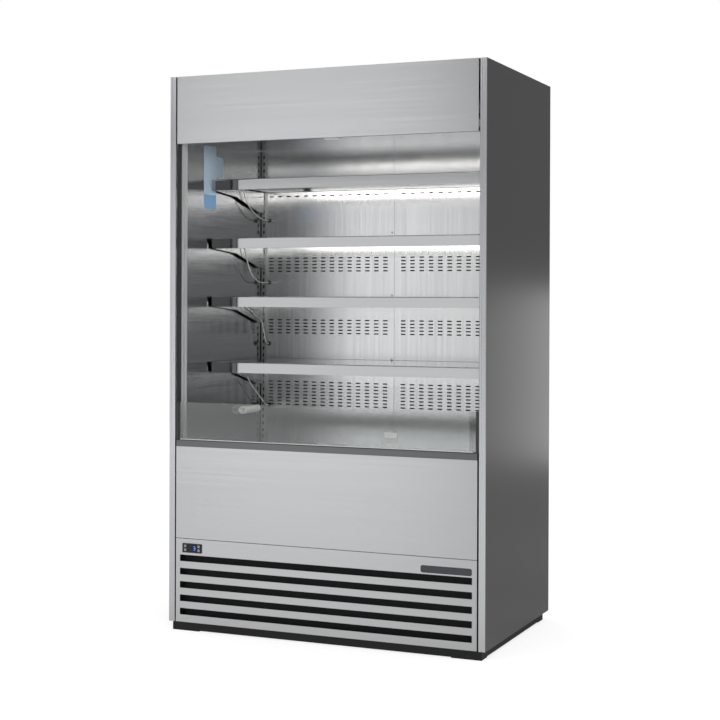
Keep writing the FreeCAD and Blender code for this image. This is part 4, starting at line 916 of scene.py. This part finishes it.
# %% [markdown]
# Small screws hold the back's centre joint, the rear panel and the roof. Each
# is a pan head with a cross recess, pressed and zinc plated, so it is brighter
# than the sheet. The dome is a stack of rings, and a Boolean cuts the cross.

# %% One pan-head screw
# Bright zinc: a thin plated film, slightly cloudy.
zinc, tree, shader = new_material("bright_zinc_screw", Metallic=1.0)
film = stretched_noise(tree, (300, 300, 300))
follow(tree, shader, film, linear("B9BCC0"), linear("DADCDF"), gloss=(0.18, 0.30))
DOME = ((1.0, 0.0), (1.0, 0.35), (0.86, 0.72), (0.55, 0.95))  # each ring's share of radius and of height
RECESS_FLOOR = 0.35  # share of the head's height
CROSS_ARM, CROSS_HALF = 2.3, 0.5


def pan_head(name, radius=4.0, height=2.2, sides=18):
    """Domed head on the XY plane with a cross cut into it, in millimetres."""
    mesh = bmesh.new()
    rings = []
    for reach, rise in DOME:
        ring = []
        for step in range(sides):
            angle = 2 * math.pi * step / sides
            x, y = radius * reach * math.cos(angle), radius * reach * math.sin(angle)
            ring.append(mesh.verts.new((x, y, height * rise)))
        rings.append(ring)
    for lower, upper in zip(rings, rings[1:]):
        for step in range(sides):
            after = (step + 1) % sides
            mesh.faces.new((lower[step], lower[after], upper[after], upper[step]))
    mesh.faces.new(rings[-1])
    mesh.faces.new(rings[0][::-1])
    head = bpy.data.objects.new(name, finished_mesh(name, mesh, [zinc]))
    cross = bmesh.new()
    for x, y in ((CROSS_ARM, CROSS_HALF), (CROSS_HALF, CROSS_ARM)):
        block(cross, (-x, -y, height * RECESS_FLOOR), (x, y, height * 2))
    tool = bpy.data.objects.new("cross_bit", finished_mesh("cross_bit", cross, []))
    scene.collection.objects.link(head)
    scene.collection.objects.link(tool)
    recess = head.modifiers.new("cross recess", "BOOLEAN")
    recess.object = tool
    recess.operation = "DIFFERENCE"
    recess.solver = "EXACT"
    recess.use_self = True
    head.data = evaluated_mesh(head)
    head.modifiers.clear()
    bpy.data.objects.remove(tool)
    scene.collection.objects.unlink(head)
    print(name, "faces", len(head.data.polygons))
    return head


screw = pan_head("pan_head_screw")

# %% [markdown]
# The screws' places are single points that carry the direction they face. A
# second tree sets a screw on each one, turned by a seeded random angle, because
# no fitter lines up every cross.

# %% The screw-setting tree
screw_tree = bpy.data.node_groups.new("set_screws", "GeometryNodeTree")
screw_sockets = {}
for label, kind in (
    ("Places", "NodeSocketGeometry"),
    ("Screw", "NodeSocketObject"),
    ("Seed", "NodeSocketInt"),
    ("Finish", "NodeSocketMaterial"),
):
    screw_sockets[label] = screw_tree.interface.new_socket(label, in_out="INPUT", socket_type=kind).identifier
screw_tree.interface.new_socket("Screws", in_out="OUTPUT", socket_type="NodeSocketGeometry")
given = add(screw_tree, "NodeGroupInput").outputs
facing = add(screw_tree, "GeometryNodeInputNamedAttribute", {"Name": "facing"}, data_type="FLOAT_VECTOR")
aim = add(screw_tree, "FunctionNodeAlignRotationToVector", {"Vector": facing.outputs[0]}, axis="Z")
half_turn = {"Min": 0.0, "Max": math.pi, "Seed": given["Seed"]}
spin = add(screw_tree, "FunctionNodeRandomValue", half_turn, data_type="FLOAT")
shape = add(screw_tree, "GeometryNodeObjectInfo", {"Object": given["Screw"], "As Instance": True})
standing = add(
    screw_tree,
    "GeometryNodeInstanceOnPoints",
    {"Points": given["Places"], "Instance": shape.outputs["Geometry"], "Rotation": aim.outputs[0]},
)
turned = add(screw_tree, "ShaderNodeCombineXYZ", {"Z": spin.outputs[1]})
driven = add(
    screw_tree,
    "GeometryNodeRotateInstances",
    {"Instances": standing.outputs[0], "Rotation": turned.outputs[0]},
)
real = add(screw_tree, "GeometryNodeRealizeInstances", {"Geometry": driven.outputs[0]})
coated = add(
    screw_tree, "GeometryNodeSetMaterial", {"Geometry": real.outputs[0], "Material": given["Finish"]}
)
add(screw_tree, "NodeGroupOutput", {"Screws": coated.outputs[0]})
print("screw tree with", len(screw_tree.nodes), "nodes")

# %% Set the screws
JOINT_HEIGHTS = (1479, 1232, 980, 751)
BACK_HEIGHTS = (1700, 1560, 1290, 1050, 859, 700)
REAR_HEIGHTS = (60, 330, 700, 1070, 1440, 1810, 1960)
JOINT_COLUMN = -10  # in the left half, beside the joint
BACK_COLUMNS_AT = (-548, 548)
REAR_COLUMNS_AT = (-560, 560)
ROOF_COLUMNS_AT = (-280, 0, 280)
SCREW_SEED = 7
FORWARD, BACKWARD = (0, -1, 0), (0, 1, 0)
back_face = box_mm("back_panel_left")[0][1]
rear_face = box_mm("rear_panel")[1][1]
screw_places = [((JOINT_COLUMN, back_face, z), FORWARD) for z in JOINT_HEIGHTS]
screw_places += [((x, back_face, z), FORWARD) for z in BACK_HEIGHTS for x in BACK_COLUMNS_AT]
screw_places += [((x, rear_face, z), BACKWARD) for z in REAR_HEIGHTS for x in REAR_COLUMNS_AT]
screw_places += [((x, rear_face, REAR_HEIGHTS[-1]), BACKWARD) for x in ROOF_COLUMNS_AT]
places = bpy.data.meshes.new("screw_places")
places.from_pydata([[value * MM for value in spot] for spot, _ in screw_places], [], [])
direction = places.attributes.new("facing", "FLOAT_VECTOR", "POINT")
direction.data.foreach_set("vector", [value for _, way in screw_places for value in way])
board = bpy.data.objects.new("screw_board", places)
scene.collection.objects.link(board)
modifier = board.modifiers.new("screws", "NODES")
modifier.node_group = screw_tree
modifier[screw_sockets["Screw"]] = screw
modifier[screw_sockets["Seed"]] = SCREW_SEED
modifier[screw_sockets["Finish"]] = zinc
set_mesh = evaluated_mesh(board)
bpy.data.objects.remove(board)
piece("panel_screws", set_mesh, "cabinet")
print("screws:", len(screw_places))

# %% [markdown]
# The night curtain is cloth on a sprung roller behind the header. By day only a
# short strip hangs between the roll and its bar. It is one flat cloth, drawn as
# many rows of small faces.

# %% Night curtain
CLOTH_COLUMNS, CLOTH_ROWS = 60, 40
CLOTH_INSET = 0.5  # the cloth's ends lie a little inside its measured solid
(_, cloth_front, cloth_low), (cloth_side, cloth_back, cloth_high) = box_mm("curtain_fabric")
cloth_face = (cloth_front + cloth_back) / 2
CURTAIN_HALF = cloth_side
CURTAIN_TOP = cloth_high - CLOTH_INSET
CURTAIN_FOOT = cloth_low + CLOTH_INSET
cloth = bmesh.new()
grid_points = []
for row in range(CLOTH_ROWS + 1):
    z = CURTAIN_TOP + (CURTAIN_FOOT - CURTAIN_TOP) * row / CLOTH_ROWS
    row_x = [CURTAIN_HALF * (2 * column / CLOTH_COLUMNS - 1) for column in range(CLOTH_COLUMNS + 1)]
    grid_points.append([cloth.verts.new((x, cloth_face, z)) for x in row_x])
for upper, lower in zip(grid_points, grid_points[1:]):
    for c in range(CLOTH_COLUMNS):
        cloth.faces.new((upper[c], lower[c], lower[c + 1], upper[c + 1]))
curtain = bpy.data.objects.new("night_curtain", finished_mesh("night_curtain", cloth, [curtain_cloth]))
scene.collection.objects.link(curtain)
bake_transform(curtain)
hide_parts("curtain_fabric")
print("curtain cloth", 2 * CURTAIN_HALF, "mm wide")

# %% [markdown]
# The controller shows one blue digit behind its dark window. Seven little bars
# make any digit, as on the real display. A light-emitting diode glows in its own
# colour, so the same blue is given to the surface and to its glow.

# %% Display digit
blue_led, tree, shader = new_material("blue_led_segment", Roughness=0.3)
blue = follow(tree, shader, stretched_noise(tree, (500, 500, 500)), linear("2A6BFF"), linear("4E8CFF"))
tree.links.new(blue, shader.inputs["Emission Color"])
shader.inputs["Emission Strength"].default_value = 1.6

DIGIT_HEIGHT = 13.0
DIGIT_WIDTH = 7.0
BAR = 1.5
BAR_STOP = 0.6  # share of its thickness that a bar stops short of its ends
BAR_FRONT, BAR_BACK = 0.25, 0.02  # in front of the window
DIGIT_OFFSET = 9.0  # right of the controller's middle
WINDOW_DEPTH = 1.0  # the window lies this far behind the bezel
(panel_left, panel_front, panel_foot), (panel_right, _, panel_top) = box_mm("controller_housing")
digit_x = (panel_left + panel_right) / 2 + DIGIT_OFFSET
digit_z = (panel_foot + panel_top) / 2
window_face = panel_front + WINDOW_DEPTH


def digit(mesh, x, z, segments):
    """Add one seven-bar digit whose middle is at x, z; segments are named a to g."""
    w, h = DIGIT_WIDTH / 2, DIGIT_HEIGHT / 2
    bars = {
        "a": ((-w, h), (w, h)),
        "b": ((w, 0), (w, h)),
        "c": ((w, -h), (w, 0)),
        "d": ((-w, -h), (w, -h)),
        "e": ((-w, -h), (-w, 0)),
        "f": ((-w, 0), (-w, h)),
        "g": ((-w, 0), (w, 0)),
    }
    for name in segments:
        (x0, z0), (x1, z1) = bars[name]
        # A bar spreads half its thickness to each side of its line.
        grow_x = -BAR * BAR_STOP if x1 > x0 else BAR / 2
        grow_z = -BAR * BAR_STOP if z1 > z0 else BAR / 2
        low = (x + x0 - grow_x, window_face - BAR_FRONT, z + z0 - grow_z)
        high = (x + x1 + grow_x, window_face - BAR_BACK, z + z1 + grow_z)
        block(mesh, low, high)


led = bmesh.new()
digit(led, digit_x, digit_z, "abgcd")
piece("display_digit", finished_mesh("display_digit", led, [blue_led]), "grille")

# %% [markdown]
# The badge on the grille is left bare: a dark lacquered plate in a thin bright
# rim. It is a block with rounded corners whose front is inset and sunk a little,
# so that the rim catches the light.

# %% Bare badge
# Badge face: dark lacquer, smooth and slightly cloudy.
badge_face, tree, shader = new_material("dark_lacquered_badge", Roughness=0.25, IOR=1.5)
follow(tree, shader, stretched_noise(tree, (20, 20, 20)), linear("303236"), linear("3C3F44"))
BADGE_SIZE = (188.0, 1.2, 28.0)
BADGE_FROM_RIGHT = 16.0
BADGE_FROM_TOP = 27.0
BADGE_RIM = 1.6


BADGE_CORNER = 3.0
BADGE_SUNK = 0.2
X_AXIS, Y_AXIS = 0, 1


def rounded_plate(low, high, axis, corner):
    """A plate that is thin along one axis, with its four corners rounded, in millimetres."""
    mesh = bmesh.new()
    block(mesh, low, high)
    runs = [(edge, edge.verts[0].co - edge.verts[1].co) for edge in mesh.edges]
    through = [edge for edge, run in runs if abs(run[axis]) > run.length / 2]
    bmesh.ops.bevel(mesh, geom=through, offset=corner, segments=4, affect="EDGES")
    return mesh


(_, grille_face, _), (grille_right, _, grille_top) = box_mm("grille_panel")
badge_high = (grille_right - BADGE_FROM_RIGHT, grille_face, grille_top - BADGE_FROM_TOP)
badge_low = tuple(far - size for far, size in zip(badge_high, BADGE_SIZE))
badge = rounded_plate(badge_low, badge_high, Y_AXIS, BADGE_CORNER)
badge.normal_update()
badge_front = min(badge.faces, key=lambda face: face.calc_center_median().y)
bmesh.ops.inset_region(badge, faces=[badge_front], thickness=BADGE_RIM, depth=-BADGE_SUNK)
badge_front.material_index = 1
badge_mesh = finished_mesh("bare_badge", badge, [guide_aluminium, badge_face])
piece("bare_badge", badge_mesh, "grille")

# %% [markdown]
# Two stickers hang on the left wall and a small label stands at the foot of the
# back. All are left bare: pale blue film with a deeper blue foot, and white
# coated paper. Each is a thin sheet with rounded corners, flat on its wall.

# %% Bare stickers and label
STICKER_FOOT = 1.612  # metres; below it the film is printed a deeper blue
FILM_CORNER = 5.0
LABEL_CORNER = 2.0
# Printed vinyl film: pale blue with a deeper blue foot, and a soft even sheen.
sticker_film, tree, shader = new_material("pale_blue_vinyl_film", Roughness=0.40, IOR=1.5)
height = add(tree, "ShaderNodeSeparateXYZ", {0: add(tree, "ShaderNodeTexCoord").outputs["Object"]}).outputs[2]
foot = add(tree, "ShaderNodeMath", {0: height, 1: STICKER_FOOT}, operation="LESS_THAN")
ink = stretched_noise(tree, (40, 40, 40))
pale = add(tree, "ShaderNodeMix", {0: ink, 6: linear("C6DCF0"), 7: linear("D2E5F5")}, data_type="RGBA")
follow(tree, shader, foot.outputs[0], pale.outputs[2], linear("86B4E0"))
# Coated paper: smooth and white, with almost no tooth.
label_paper = moulding("white_coated_label", "F4F4F2", 0.45, 0.00001)


def stuck_film(name, axis, low, high, corner, finish):
    """A thin film with rounded corners, flat against the wall that is square to that axis."""
    film = finished_mesh(name, rounded_plate(low, high, axis, corner), [finish])
    piece(name, film, "cabinet")


wall = box_mm("end_liner_left")[1][0]
deck_top = box_mm("deck_pan")[1][2]
tall = ((wall, -179.0, 1557.0), (wall + 0.2, -84.0, 1797.0))
stuck_film("bare_sticker_tall", X_AXIS, *tall, FILM_CORNER, sticker_film)
wide = ((wall, -179.0, 1683.0), (wall + 0.4, -28.5, 1762.0))
stuck_film("bare_sticker_wide", X_AXIS, *wide, FILM_CORNER, sticker_film)
label = ((-41.0, back_face - 0.25, deck_top), (13.0, back_face, deck_top + 20.5))
stuck_film("bare_label", Y_AXIS, *label, LABEL_CORNER, label_paper)

# %% [markdown]
# A pale bead lies on the dark rail, along the foot of the glass, and shows as
# one bright line. It is a small profile with a rounded front edge, pushed from
# one side channel to the other.

# %% Glazing bead
BEAD_HALF = 566.0
# Each point is so far behind the rail's front and so far above its top.
BEAD_PROFILE = [(6.3, 0.0), (0.2, 0.0), (0.2, 1.4), (0.9, 2.5), (2.3, 3.0), (6.3, 3.0)]
(_, rail_front, _), (_, _, rail_top) = box_mm("front_rail")
bead_end = [(-BEAD_HALF, rail_front + back, rail_top + up) for back, up in BEAD_PROFILE]
bead = pushed_outline(bead_end, (2 * BEAD_HALF, 0, 0))
piece("glazing_bead", finished_mesh("glazing_bead", bead, [guide_aluminium]), "cabinet")
